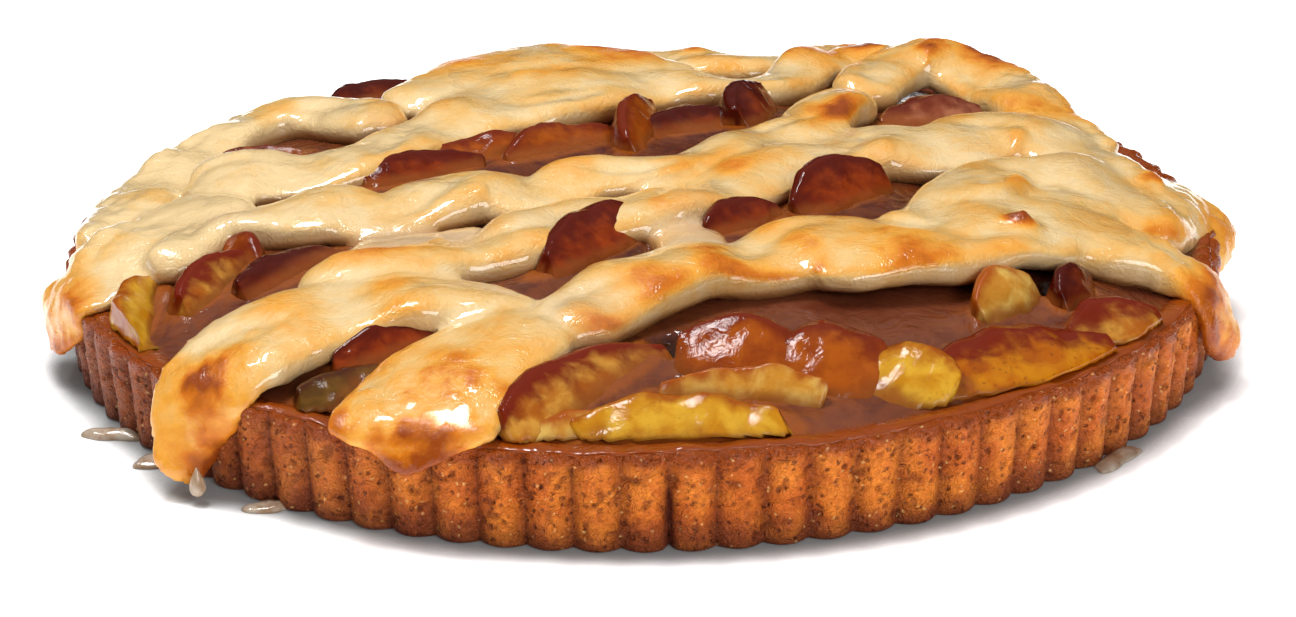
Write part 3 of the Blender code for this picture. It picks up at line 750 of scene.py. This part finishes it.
@dataclass
class CrustShell:
    """The fluted cup that was pressed into the tin."""

    columns_per_flute: int = 16
    wall_rows: int = 30
    edge_rounding: float = 1.2
    inner_foot: float = 14.0    # height of the one ring between the rim and the floor inside
    pit_depth: float = 0.75
    dent: float = 0.26
    crack_angle: float = 1.5 * math.pi + 0.036
    crack_width: float = 0.005  # as an angle
    crack_depth: float = 1.6

    def profile(self) -> np.ndarray:
        """Rows of radius, height and the flutes' share, from under the foot to the floor inside."""
        foot = RIM_RADIUS - BASE_NARROWING
        turn = np.linspace(0.0, math.pi / 2.0, 4)[:-1]
        corner = np.column_stack([foot - FOOT_ROUNDING * (1 - np.sin(turn)),
                                  FOOT_ROUNDING * (1 - np.cos(turn)), np.ones(3)])
        t = np.linspace(0.0, 1.0, self.wall_rows)
        wall = np.column_stack([foot + BASE_NARROWING * t,
                                FOOT_ROUNDING
                                + (WALL_HEIGHT - self.edge_rounding - FOOT_ROUNDING) * t,
                                np.ones(self.wall_rows)])
        turn = np.linspace(0.0, math.pi / 2.0, 5)[1:]
        edge = np.column_stack([RIM_RADIUS - self.edge_rounding * (1 - np.cos(turn)),
                                WALL_HEIGHT - self.edge_rounding * (1 - np.sin(turn)), np.ones(4)])
        across = np.linspace(RIM_RADIUS - self.edge_rounding, INNER_RADIUS, 6)[1:]
        share = (across - INNER_RADIUS) / (RIM_RADIUS - self.edge_rounding - INNER_RADIUS)
        top = np.column_stack([across, np.full(5, WALL_HEIGHT), share])
        inside = [(INNER_RADIUS, self.inner_foot, 0.0), (INNER_RADIUS, FLOOR_THICKNESS, 0.0)]
        under = [(foot - 12.0, 0.0, 0.0)]
        return np.vstack([under, corner, wall, edge, top, inside])

    def build(self) -> bpy.types.Object:
        """Turn the profile round the axis with its wall pressed into flutes.

        The flute's depth at an angle is the depth times 1 - |cos(half the flutes times the
        angle)| to the power 0.8. Pits, dents and a worn rim come from noise over the wall, and
        a crack at one angle is the bell curve of the angle away from it, low on the wall.
        """
        profile = self.profile()
        angle = np.linspace(0.0, 2.0 * math.pi, FLUTES * self.columns_per_flute, endpoint=False)
        sway = 0.25 * value_noise(around_axis(angle) * 10.0, 3.0, 5)
        flute = 1.0 - np.abs(np.cos(FLUTES * (angle + sway * 0.012) / 2.0)) ** 0.8
        radius, height, share = (profile[:, k][:, None] for k in range(3))
        crack = np.exp(-((angle - self.crack_angle) / self.crack_width) ** 2)
        crack = crack[None, :] * (1.0 - smooth_step((height - 9.0) / 8.0)) * share
        inset = FLUTE_DEPTH * flute[None, :] * share + self.crack_depth * crack
        x, y = (radius - inset) * np.cos(angle), (radius - inset) * np.sin(angle)
        points = np.stack([x, y, height + 0.0 * x], axis=-1).reshape(-1, 3)
        out = points / np.maximum(np.hypot(points[:, 0], points[:, 1]), 1.0)[:, None]
        out[:, 2] = 0.0
        on_wall = smooth_step((points[:, 2] - 0.4) / 1.5) * (share + 0.0 * x).reshape(-1)
        pits = smooth_step((value_noise(points, 1.5, 11) - 0.35) / 0.45) * on_wall
        dents = self.dent * fractal(points, 6.0, 17) + self.dent * fractal(points, 2.0, 23)
        points += out * ((dents - self.pit_depth * pits) * on_wall)[:, None]
        rim = smooth_step((points[:, 2] - 18.5) / 3.0) * smooth_step(
            (np.hypot(points[:, 0], points[:, 1]) - INNER_RADIUS + 1.0) / 2.0)
        points[:, 2] += rim * rim_wave(points)
        # Painted shade: darker colour down the flutes' grooves and in the crack; the scorched foot
        # joins the same mark
        shade_and_scorch = (flute[None, :] ** 1.3 * share).reshape(-1) * 0.7
        scorched = 0.55 + 0.45 * fractal(points, 8.0, 3)
        scorched = (1.0 - smooth_step(points[:, 2] / 2.6)) * scorched
        shade_and_scorch = np.clip(np.maximum(shade_and_scorch, scorched) + crack.reshape(-1), 0.0, 1.0)
        gloss = np.clip(smooth_step((points[:, 2] - 18.0 - 1.6 * fractal(points, 6.0, 41)) / 3.0),
                        0.0, 1.0)
        skin = Skin(leaned(points).reshape(len(profile), -1, 3), np.array([0.0, 0.0, 0.0]),
                    np.array([0.0, 0.0, FLOOR_THICKNESS]))
        # Marks: painted shade in the grooves and crack with the scorched foot, the rim, and painted
        # shade in the pits
        marks = {"shade_and_scorch": np.append(shade_and_scorch, [0.5, 0.5]), "rim": np.append(gloss, [0.0, 0.0]),
                 "pit_shade": np.append(pits, [0.0, 0.0])}
        return new_piece("fluted_crust", skin.points(), skin.faces(), marks)

    def place(self) -> None:
        """Build the cup and dress it in short crust."""
        place_piece(self.build(), CrustFinish().material(), "shell_crust", "crust_shell")


@dataclass
class ApplePool:
    """The gel that fills the cup, drawn up a little around each slice."""

    rings: int = 120
    columns: int = 480
    meniscus: float = 2.2
    highest_rise: float = 1.5
    film_reach: float = 137.8
    film_thickness: float = 0.45

    def level(self, x: np.ndarray, y: np.ndarray) -> tuple[np.ndarray, np.ndarray]:
        """Height of the gel and how near it is to fruit.

        The dome, plus low lumps and ripples, plus a rise that falls off by e for each
        meniscus length away from the oval that each slice covers, less a little where the gel
        has sunk, most of all in front, and less the hollows' depths.
        """
        flat = np.column_stack([x, y, np.full(len(x), 3.0)])
        radius = np.hypot(x, y)
        fade = 1.0 - (radius / FILLING_RADIUS) ** 6
        height = filling_dome(radius) + fade * (0.7 * value_noise(flat, 26.0, 2)
                                                + 0.35 * fractal(flat, 9.0, 7))
        near = np.zeros(len(x))
        rise = np.zeros(len(x))
        for sx, sy, lift, heading, length, width, _ in SLICES:
            along, across = in_heading(x - sx, y - sy, heading)
            oval = np.hypot(along / (0.52 * length), across / (0.5 * width))
            gap = np.maximum(oval - 1.0, 0.0) * width / 2.0
            near = np.maximum(near, np.exp(-gap / 6.0))
            drawn = min(0.3 * lift, self.highest_rise) * np.exp(-gap / self.meniscus)
            rise = np.maximum(rise, drawn)
        sunk = 0.7 + 1.8 * np.exp(-((x - 45.0) / 75.0) ** 2 - ((y + 100.0) / 30.0) ** 2)
        for hx, hy, reach, depth in HOLLOWS:
            sunk = sunk + depth * np.exp(-(np.hypot(x - hx, y - hy) / reach) ** 4)
        height -= sunk * np.clip(fade * 2.0, 0.0, 1.0)
        return height + rise * np.minimum(fade * 3.0, 1.0), near

    def film(self, angle: np.ndarray) -> np.ndarray:
        """Rings of the thin film that runs out over the rim and back under itself.

        Its reach wanders by noise of the angle, and its edge is rounded down on the rim.
        """
        reach = self.film_reach + 1.2 * fractal(around_axis(angle) * 100.0, 9.0, 43)
        rings = []
        for share, rise in ((0.25, 0.8), (0.5, 1.0), (0.75, 1.0), (0.92, 0.7), (1.0, -0.2),
                            (0.9, -1.0), (0.4, -1.0)):
            radius = FILLING_RADIUS + (reach - FILLING_RADIUS) * share
            x, y = radius * np.cos(angle), radius * np.sin(angle)
            place = np.column_stack([x, y, np.full(len(x), WALL_HEIGHT)])
            lump = 0.5 * fractal(place, 4.0, 47) * (rise > 0.0)
            height = WALL_HEIGHT + rim_wave(place) + self.film_thickness * rise + lump
            rings.append(np.column_stack([x, y, height]))
        return np.vstack(rings)

    def build(self) -> bpy.types.Object:
        """A round grid at the gel's level with its film, closed by its side and underside."""
        angle = np.linspace(0.0, 2.0 * math.pi, self.columns, endpoint=False)
        radius = FILLING_RADIUS * (np.arange(1, self.rings + 1) / self.rings) ** 0.9
        x = (radius[:, None] * np.cos(angle)).reshape(-1)
        y = (radius[:, None] * np.sin(angle)).reshape(-1)
        height, near = self.level(x, y)
        top = np.column_stack([x, y, height])
        film = self.film(angle)
        side = top[-self.columns:].copy()
        side[:, 2] = FLOOR_THICKNESS + 0.3
        points = np.vstack([top, film, side])
        centre, centre_near = self.level(np.zeros(1), np.zeros(1))
        skin = Skin(leaned(points).reshape(-1, self.columns, 3),
                    np.array([0.0, 0.0, centre[0]]), np.array([0.0, 0.0, 5.3]))
        near = np.concatenate([near, np.zeros(len(film) + self.columns), centre_near, [0.0]])
        haze = np.maximum(smooth_step((-points[:, 1] - 45.0) / 30.0),
                          smooth_step((-points[:, 0] - 40.0) / 30.0))
        edge = smooth_step((np.hypot(points[:, 0], points[:, 1]) - 131.0) / 4.5)
        # Where the gel's colour gets painted shade, in the hollows between the slices
        hollow = np.zeros(len(points))
        for hx, hy, reach, _ in HOLLOWS:
            away = np.hypot(points[:, 0] - hx, points[:, 1] - hy) / reach
            hollow = np.maximum(hollow, np.exp(-away ** 4))
        marks = {"fruit": near}
        for label, values in (("haze", haze), ("edge", edge), ("hollow", hollow)):
            marks[label] = np.append(values, [0.0, 0.0])
        return new_piece("gel_pool", skin.points(), skin.faces(), marks)

    def place(self) -> None:
        """Build the gel and dress it."""
        place_piece(self.build(), GelFinish().material(), "filling_gel", "apple_filling")


@dataclass
class AppleSlices:
    """The slices that stand out of the gel, each a bowed wedge of its own tone."""

    sections: int = 40
    sides: int = 42
    unevenness: float = 1.0
    flatness: float = 0.75
    growth: float = 1.35
    extra_lift: float = 0.8
    slant: float = 0.16
    farthest: float = 131.0

    def skin(self, number: int) -> tuple[Skin, dict[str, np.ndarray]]:
        """One slice: the wedge's outline carried along its bowed heading.

        At a share s of its length the bow is 1 - (2 s) squared. The width follows
        0.35 + 0.65 times the root of the bow, the crest drops by 0.55 times the lift where
        the bow is 0, and the middle stands out sideways by the arch.
        """
        x, y, lift, heading, length, width, _ = SLICES[number]
        lift, length, width = lift + self.extra_lift, length * 1.06, width * self.growth
        turn = math.radians(heading)
        along = np.array([math.cos(turn), math.sin(turn), 0.0])
        side = np.array([-math.sin(turn), math.cos(turn), 0.0])
        top = float(filling_dome(np.hypot(x, y))) + lift
        share = 0.485 * np.sin(np.linspace(-1.0, 1.0, self.sections) * math.pi / 2.0)
        bow = 1.0 - (2.0 * share) ** 2
        wide = width * (0.35 + 0.65 * np.sqrt(bow)) * np.minimum(1.0, 0.35 + bow * 6.0)
        rough = value_noise(np.outer(share * length, (1.0, 0.0, 0.0)), 7.0, 300 + number)
        height = (lift + SLICE_BURIED) * np.minimum(1.0, 0.6 + bow * 4.0) * (1.0 + 0.10 * rough)
        crest = top - (1.0 - bow) * lift * 0.55
        outline = closed_spline(SLICE_OUTLINE, self.sides, self.flatness)
        centre = (np.array([x, y, 0.0]) + np.outer(share * length, along)
                  + np.outer((bow - 0.6) * SLICE_ARCH * length, side))
        centre[:, 2] = crest - (lift + SLICE_BURIED) / 2.0
        rings = (centre[:, None, :] + wide[:, None, None] * outline[None, :, :1] * side
                 + height[:, None, None] * outline[None, :, 1:] * np.array([0.0, 0.0, 1.0])
                 + self.slant * length * math.sin(2.3 * number) * outline[None, :, 1:] * along)
        points = rings.reshape(-1, 3)
        out = points - np.repeat(centre, self.sides, axis=0)
        out /= np.linalg.norm(out, axis=1)[:, None]
        bulge = fractal(points, 9.0, 100 + number) + 0.3 * fractal(points, 2.4, 200 + number)
        points = points + out * (self.unevenness * bulge)[:, None]
        upper = np.tile(outline[:, 1] + 0.5, self.sections)
        upper += 0.9 * np.tile(np.maximum(outline[:, 0], 0.0), self.sections)
        radius = np.hypot(points[:, 0], points[:, 1])
        farthest = self.farthest + 5.5 * smooth_step((points[:, 2] - WALL_HEIGHT) / 0.8)
        points[:, :2] *= np.minimum(1.0, farthest / radius)[:, None]
        level = ApplePool().level(points[:, 0], points[:, 1])[0]
        bathed = 1.0 - smooth_step((points[:, 2] - level) / 3.5)
        ends = [centre[end] + sign * along * 0.012 * length for end, sign in ((0, -1), (-1, 1))]
        rings = leaned(points).reshape(self.sections, self.sides, 3)
        ends = leaned(np.array(ends))
        marks = {"upper": np.append(upper, [0.5, 0.5]), "bathed": np.append(bathed, [1.0, 1.0])}
        return Skin(rings, ends[0], ends[1]), marks

    def place(self) -> None:
        """Build every slice and dress it in its tone."""
        finishes = {tone: finish.material(tone) for tone, finish in APPLE_FINISHES.items()}
        for number, row in enumerate(SLICES):
            skin, marks = self.skin(number)
            name = f"baked_slice_{number + 1:02d}"
            piece = new_piece(name, skin.points(), skin.faces(), marks)
            place_piece(piece, finishes[row[-1]], "apple", f"apple_slice_{number + 1:02d}")


@dataclass
class DoughNet:
    """One net of dough: all strips swept, melted together by a voxel remesh and relaxed."""

    step: float = 2.0
    sides: int = 40
    voxel: float = 1.2
    smoothing: int = 4
    waves: float = 0.8
    crumb: float = 0.55
    creases: float = 0.22
    lobe_height: float = 1.0
    least_puff: float = 0.2
    ridge_lean: float = 0.45
    averaging: int = 24
    fold_depth: float = 1.3

    def strip(self, stations: list[tuple[float, ...]], number: int, puff: float) -> Skin:
        """Full oval sections carried along the strip's path, puffed into lobes.

        Across is the sign of the cosine times its size to the power 0.8, over is the same of
        the sine, and under the middle the section reaches down into the filling. Along the
        strip the crest rises and falls by sines of its length, the ridge leans from side to
        side, and a fold runs along the top where its own sine is positive.
        """
        rows = spline(stations, self.step)
        radius = np.hypot(rows[:, 0], rows[:, 1])
        flap = smooth_step((radius - FLAP_START) / (FLAP_END - FLAP_START))
        length = np.append(0.0, np.cumsum(np.hypot(*np.diff(rows[:, :2], axis=0).T)))
        turns = 2.0 * math.pi * length
        lobe = 0.6 * np.sin(turns / 37.0 + 2.1 * number) + 0.4 * np.sin(turns / 22.0 + number)
        lobe *= puff
        lean = puff * self.ridge_lean * np.sin(turns / 58.0 + 1.3 * number)
        fold_at = 0.45 * np.sin(turns / 71.0 + 0.7 * number + 1.0)
        fold = puff * self.fold_depth * smooth_step(np.sin(turns / 52.0 + 2.9 * number) + 0.3)
        fold *= 1.0 - flap
        thickness = STRIP_THICKNESS + (FLAP_THICKNESS - STRIP_THICKNESS) * flap
        crest = net_dome(radius) + rows[:, 2] + self.lobe_height * lobe * (1.0 - flap)
        path = np.column_stack([rows[:, :2], crest])
        tangent = np.gradient(path, axis=0)
        side = np.column_stack([-tangent[:, 1], tangent[:, 0], np.zeros(len(path))])
        side /= np.linalg.norm(side, axis=1)[:, None]
        up = np.cross(tangent, side)
        up /= np.linalg.norm(up, axis=1)[:, None]
        middle = path - up * thickness[:, None] / 2.0
        angle = 2.0 * math.pi * np.arange(self.sides) / self.sides
        across = np.sign(np.cos(angle)) * np.abs(np.cos(angle)) ** 0.8
        over = np.sign(np.sin(angle)) * np.abs(np.sin(angle)) ** 0.8
        deep = 1.0 + 0.45 * (1.0 - flap)[:, None] * (over < 0.0)
        end = np.minimum(np.arange(len(path)), np.arange(len(path))[::-1]) * self.step
        ease = np.sqrt(np.clip(end / (0.45 * rows[:, 3] + 1.0), 0.12, 1.0))
        puffed = over * (1.0 + lean[:, None] * across * (over > 0.0)) * deep
        rise = (thickness / 2.0 * ease)[:, None] * puffed
        rise -= fold[:, None] * np.exp(-((across - fold_at[:, None]) / 0.16) ** 2) * (over > 0.0)
        rings = (middle[:, None, :]
                 + side[:, None, :] * (rows[:, 3] * ease)[:, None, None] * across[None, :, None]
                 + up[:, None, :] * rise[:, :, None])
        return Skin(rings, middle[0], middle[-1])

    def melted(self) -> bpy.types.Object:
        """All strips as one mesh, remeshed by voxels and smoothed."""
        points: list[np.ndarray] = []
        faces: list[list[int]] = []
        count = 0
        for number, (label, stations) in enumerate(STRIPS.items()):
            puff = self.least_puff if label in SMOOTH_STRIPS else 1.0
            skin = self.strip(stations, number, puff)
            faces += [[index + count for index in face] for face in skin.faces()]
            points.append(skin.points())
            count += len(points[-1])
        piece = new_piece("dough_net", np.vstack(points), faces)
        remesh = piece.modifiers.new("Melt", "REMESH")
        remesh.mode = "VOXEL"
        remesh.voxel_size = self.voxel * MM
        remesh.use_smooth_shade = True
        relax = piece.modifiers.new("Relax", "SMOOTH")
        relax.factor = 0.5
        relax.iterations = self.smoothing
        bpy.context.view_layer.update()
        shown = piece.evaluated_get(bpy.context.evaluated_depsgraph_get())
        piece.data = bpy.data.meshes.new_from_object(shown)
        piece.modifiers.clear()
        return piece

    def convexity(self, mesh: bpy.types.Mesh, points: np.ndarray, up: np.ndarray) -> np.ndarray:
        """How far each point stands out of the surface averaged about it, in millimetres.

        The average takes each point to the mean of its neighbours, again and again.

        Args:
            mesh: the net's mesh, for its edges.
            points: places, as rows of x, y, z in millimetres.
            up: the normal at each point.

        Returns:
            One number for each point, above 0 on what stands out.
        """
        ends = np.zeros(len(mesh.edges) * 2, np.int32)
        mesh.edges.foreach_get("vertices", ends)
        one, two = ends.reshape(-1, 2).T
        count = np.bincount(np.append(one, two), minlength=len(points))
        mean = points.copy()
        for _ in range(self.averaging):
            mean = np.column_stack([
                np.bincount(np.append(one, two), np.append(mean[two, k], mean[one, k]),
                            len(points)) / count for k in range(3)])
        return np.sum((points - mean) * up, axis=1)

    def marks(self, points: np.ndarray, up: np.ndarray, bulge: np.ndarray
              ) -> dict[str, np.ndarray]:
        """Where the dough is browned, stretched thin, and stained by gel.

        Browning is the strongest of the table's bell curves, more on crests and on what stands
        out, less on the sides, and paler towards -X. It may go a little below 0 there, and the
        finish takes that as pale. The hanging ends have a share of their own.

        Args:
            points: places, as rows of x, y, z in millimetres.
            up: the normal at each point.
            bulge: how far each point stands out, in millimetres.

        Returns:
            One number for each point under "brown", "thin" and "stain", up to 1.
        """
        x, y, z = points.T
        radius = np.hypot(x, y)
        brown = np.zeros(len(points))
        for bx, by, reach, share in BROWNED:
            spot = np.exp(-((x - bx) ** 2 + (y - by) ** 2) / (0.8 * reach) ** 2)
            brown = np.maximum(brown, share * spot)
        crest = smooth_step((z - net_dome(radius) + 1.0) / 3.5)
        stands = smooth_step((bulge + 0.1) / 1.3)
        paler = 1.0 - 0.8 * smooth_step((-x - 62.0) / 30.0)
        brown = brown * (0.45 + 0.35 * crest + 0.45 * stands)
        brown += paler * (0.08 * crest + 0.22 * stands)
        hanging = smooth_step((radius - 131.0) / 8.0)
        side = smooth_step((0.62 - up[:, 2]) / 0.5) * (1.0 - hanging)
        brown = np.maximum(brown * (1.0 - 0.75 * side), 0.38 * hanging)
        brown -= 0.14 * (1.0 - paler) * (1.0 - hanging)
        brown += 0.14 * fractal(points, 9.0, 61) * (1.0 - 0.6 * brown)
        thin = np.zeros(len(points))
        for tx, ty, half_length, half_width, heading in THIN_PLACES:
            along, across = in_heading(x - tx, y - ty, heading)
            oval = (along / half_length) ** 2 + (across / half_width) ** 2
            thin = np.maximum(thin, np.exp(-oval * 1.3))
        low = 1.0 - smooth_step((z - filling_dome(radius) - 1.0) / 4.5)
        thin = np.maximum(thin * (0.35 + 0.65 * low), 0.15 * side)
        thin = np.clip(thin * (1.0 - brown), 0.0, 1.0)
        inside = 1.0 - smooth_step((radius - 128.0) / 6.0)
        stain = (1.0 - smooth_step((z - filling_dome(radius) - 0.2) / 2.2)) * inside
        return {"brown": np.clip(brown, -0.2, 1.0), "thin": thin, "stain": np.clip(stain, 0, 1)}

    def build(self) -> bpy.types.Object:
        """The melted net, moved along its normals, with its marks.

        The move is noise of 20 and 8 mm for the waves, of 4 mm for creases that grow towards
        -X, of 3.2 mm for the crumbly hanging ends, and a bell curve for each nub.
        """
        piece = self.melted()
        mesh = piece.data
        count = len(mesh.vertices)
        flat = np.zeros(count * 3, np.float32)
        mesh.vertices.foreach_get("co", flat)
        points = flat.reshape(-1, 3).astype(float) / MM
        mesh.vertices.foreach_get("normal", flat)
        up = flat.reshape(-1, 3).astype(float)
        radius = np.hypot(points[:, 0], points[:, 1])
        hanging = smooth_step((radius - 112.0) / 16.0)
        move = self.waves * (0.7 * value_noise(points, 20.0, 51) + 0.5 * fractal(points, 8.0, 53))
        move += self.crumb * hanging * fractal(points, 3.2, 57)
        creased = 0.25 + 0.75 * smooth_step((20.0 - points[:, 0]) / 90.0)
        move += self.creases * creased * fractal(points, 4.0, 59, 2)
        for nx, ny, reach, height in NUBS:
            away = np.hypot(points[:, 0] - nx, points[:, 1] - ny) / reach
            move += height * np.exp(-away ** 2) * (up[:, 2] > 0.2)
        points = points + up * move[:, None]
        marks = self.marks(points, up, self.convexity(mesh, points, up))
        mesh.vertices.foreach_set("co", (leaned(points) * MM).astype(np.float32).reshape(-1))
        mesh.update()
        set_marks(mesh, marks)
        mesh.shade_smooth()
        return piece

    def place(self) -> None:
        """Build the net and dress it in egg-washed dough."""
        place_piece(self.build(), DoughFinish().material(), "net_dough", "lattice_top")


@dataclass
class GelRuns:
    """Clear gel that has run out over the foot, and a drop at a flap's tip."""

    # x, y, radius, thickness, stretch, heading
    puddles: tuple[tuple[float, float, float, float, float, float], ...] = (
        (-117, -77, 3.4, 1.8, 2.3, -8), (-106, -90, 3.4, 1.6, 1.9, 15),
        (-79, -115, 2.6, 1.6, 2.3, 5), (103, -95, 3.2, 1.4, 2.2, 40),
    )

    # x, y, lowest and highest point, radius
    drop: tuple[float, float, float, float, float] = (-94.4, -112.3, 1.6, 8.4, 1.8)

    def puddle(self, number: int) -> Skin:
        """A low drop: radius 1 + 0.45 times noise of the angle, height by the root of 1 - r^2."""
        x, y, reach, thickness, stretch, heading = self.puddles[number]
        angle = np.linspace(0.0, 2.0 * math.pi, 48, endpoint=False)
        ring = np.column_stack([np.cos(angle), np.sin(angle), np.full(48, 5.0 * number)])
        edge = reach * (1.0 + 0.45 * value_noise(ring, 0.8, 70 + number))
        share = np.sin(np.linspace(0.08, 1.0, 14) * math.pi / 2.0)
        along = share[:, None] * edge * np.cos(angle) * stretch
        across = share[:, None] * edge * np.sin(angle)
        px, py = in_heading(along, across, -heading)
        flat = np.stack([x + px, y + py, 0.0 * px], axis=-1)
        dome = np.sqrt(np.maximum(1.0 - share ** 2, 0.0))[:, None] * thickness
        bumps = 1.0 + 0.3 * value_noise(flat.reshape(-1, 3), 4.0, 90).reshape(flat.shape[:2])
        flat[:, :, 2] = 0.15 + dome * bumps
        under = flat[-1:].copy()
        under[:, :, 2] = 0.0
        return Skin(np.vstack([flat, under]), np.array([x, y, thickness + 0.15]),
                    np.array([x, y, 0.0]))

    def drip(self) -> Skin:
        """A hanging drop: its radius is the root of the sine of pi times t to the power 1.8."""
        x, y, low, high, reach = self.drop
        t = np.linspace(0.06, 0.97, 16)
        angle = np.linspace(0.0, 2.0 * math.pi, 32, endpoint=False)
        radius = reach * np.sqrt(np.sin(math.pi * t ** 1.8))[:, None]
        rings = np.stack([x + radius * np.cos(angle), y + radius * np.sin(angle),
                          high - (high - low) * t[:, None] + 0.0 * radius * angle], axis=-1)
        return Skin(rings, np.array([x, y, high]), np.array([x, y, low]))

    def place(self) -> None:
        """Lay the puddles at the foot, and hang the drop from the front left end of the net."""
        clear = ClearGelFinish().material()
        skin = self.drip()
        place_piece(new_piece("gel_drip", skin.points(), skin.faces()), clear, "filling_gel")
        for number in range(len(self.puddles)):
            skin = self.puddle(number)
            piece = new_piece(f"gel_puddle_{number + 1}", skin.points(), skin.faces())
            place_piece(piece, clear, "filling_gel")


@dataclass
class Studio:
    """The plain white floor, soft light from above and the camera."""

    location: tuple[float, float, float] = (0.0, -0.6522, 0.2543)
    tilt: float = 68.7
    roll: float = -0.6
    lens: float = 78.11
    shift: tuple[float, float] = (0.0042, -0.0019)
    # name, x, y, z, size, power
    lamps: tuple[tuple[str, float, float, float, float, float], ...] = (
        ("top_softbox", -0.26, 0.10, 1.0, 0.32, 8.7),
        ("left_softbox", -0.6, 0.1, 1.0, 0.14, 1.6),
        ("front_softbox", 0.55, -1.0, 0.55, 0.65, 6.8),
    )
    horizon: float = 0.03
    zenith: float = 0.45
    floor_glow: float = 0.85
    # Reach of the painted contact shadow on the floor, in metres
    contact_shadow_reach: float = 0.018
    white: tuple[float, ...] = srgb(0.985, 0.985, 0.985)
    # The floor's grey for the painted contact shadow
    contact_shadow: tuple[float, ...] = srgb(0.55, 0.56, 0.56)

    def floor(self) -> None:
        """A large white floor that isn't part of the pie, evenly bright by its glow, with a painted
        contact shadow: greyer and glowing less close to where the pie stands.
        """
        half = 3000.0
        corners = np.array([(-half, -half, 0), (half, -half, 0), (half, half, 0), (-half, half, 0)])
        piece = new_piece("white_floor", corners + np.array([0.0, 0.0, -0.02]), [[0, 1, 2, 3]])
        made, tree, shader = new_material("floor_white", Roughness=0.6, Specular_IOR_Level=0.2)
        tree.feed(shader, "Emission Color", (1.0, 1.0, 1.0, 1.0))
        # Painted contact shadow: occlusion greys the floor and dims its glow next to the pie
        shade = tree.add("AmbientOcclusion", Distance=self.contact_shadow_reach)
        glow = tree.between(shade.outputs["AO"], 0.5, 1.0, 0.04, self.floor_glow)
        near = tree.between(shade.outputs["AO"], 0.5, 0.85)
        tree.feed(shader, "Base Color", tree.mixed(near, self.contact_shadow, self.white))
        tree.feed(shader, "Emission Strength", glow)
        piece.data.materials.append(made)

    def lights(self) -> None:
        """Soft boxes that face the pie, and a white sky, dim at the horizon and bright above."""
        for name, x, y, z, size, power in self.lamps:
            data = bpy.data.lights.new(name, "AREA")
            data.shape = "RECTANGLE"
            data.size, data.size_y = size, size * 0.7
            data.energy = power
            lamp = bpy.data.objects.new(name, data)
            bpy.context.scene.collection.objects.link(lamp)
            aim = Vector((0.0, 0.0, 0.02)) - Vector((x, y, z))
            lamp.matrix_world = (Matrix.Translation((x, y, z))
                                 @ aim.to_track_quat("-Z", "Y").to_matrix().to_4x4())
        world = bpy.data.worlds.new("sky")
        world.use_nodes = True
        tree = Tree(world.node_tree)
        way = tree.add("SeparateXYZ", Vector=tree.add("TexCoord").outputs["Generated"])
        background = world.node_tree.nodes["Background"]
        tree.feed(background, "Color", (1.0, 1.0, 1.0, 1.0))
        tree.feed(background, "Strength",
                  tree.between(way.outputs[2], 0.2, 0.9, self.horizon, self.zenith))
        bpy.context.scene.world = world

    def camera(self) -> None:
        """A camera at the photograph's angle."""
        data = bpy.data.cameras.new("camera")
        data.sensor_width = 36.0
        data.lens = self.lens
        data.shift_x, data.shift_y = self.shift
        data.clip_start = 0.02
        eye = bpy.data.objects.new("camera", data)
        bpy.context.scene.collection.objects.link(eye)
        eye.matrix_world = (Matrix.Translation(self.location)
                            @ Matrix.Rotation(math.radians(self.tilt), 4, "X")
                            @ Matrix.Rotation(math.radians(self.roll), 4, "Z"))
        bpy.context.scene.camera = eye

    def place(self) -> None:
        """Set up the floor, the lights, the camera and a plain screen transform."""
        self.floor()
        self.lights()
        self.camera()
        bpy.context.scene.view_settings.view_transform = "Standard"


@dataclass
class ApplePie:
    """The whole pie, from its shell upwards."""

    shell: CrustShell = field(default_factory=CrustShell)
    pool: ApplePool = field(default_factory=ApplePool)
    slices: AppleSlices = field(default_factory=AppleSlices)
    net: DoughNet = field(default_factory=DoughNet)
    runs: GelRuns = field(default_factory=GelRuns)

    def place(self) -> None:
        """Build and dress each sub-assembly in turn."""
        for part in (self.shell, self.pool, self.slices, self.net, self.runs):
            part.place()


def main() -> None:
    """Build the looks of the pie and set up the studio."""
    logging.basicConfig(level=logging.INFO, format="%(name)s: %(message)s")
    for build in (build_patches_group, build_specks_group, build_wrinkles_group):
        build()
    ApplePie().place()
    Studio().place()


if __name__ == "__main__":
    main()
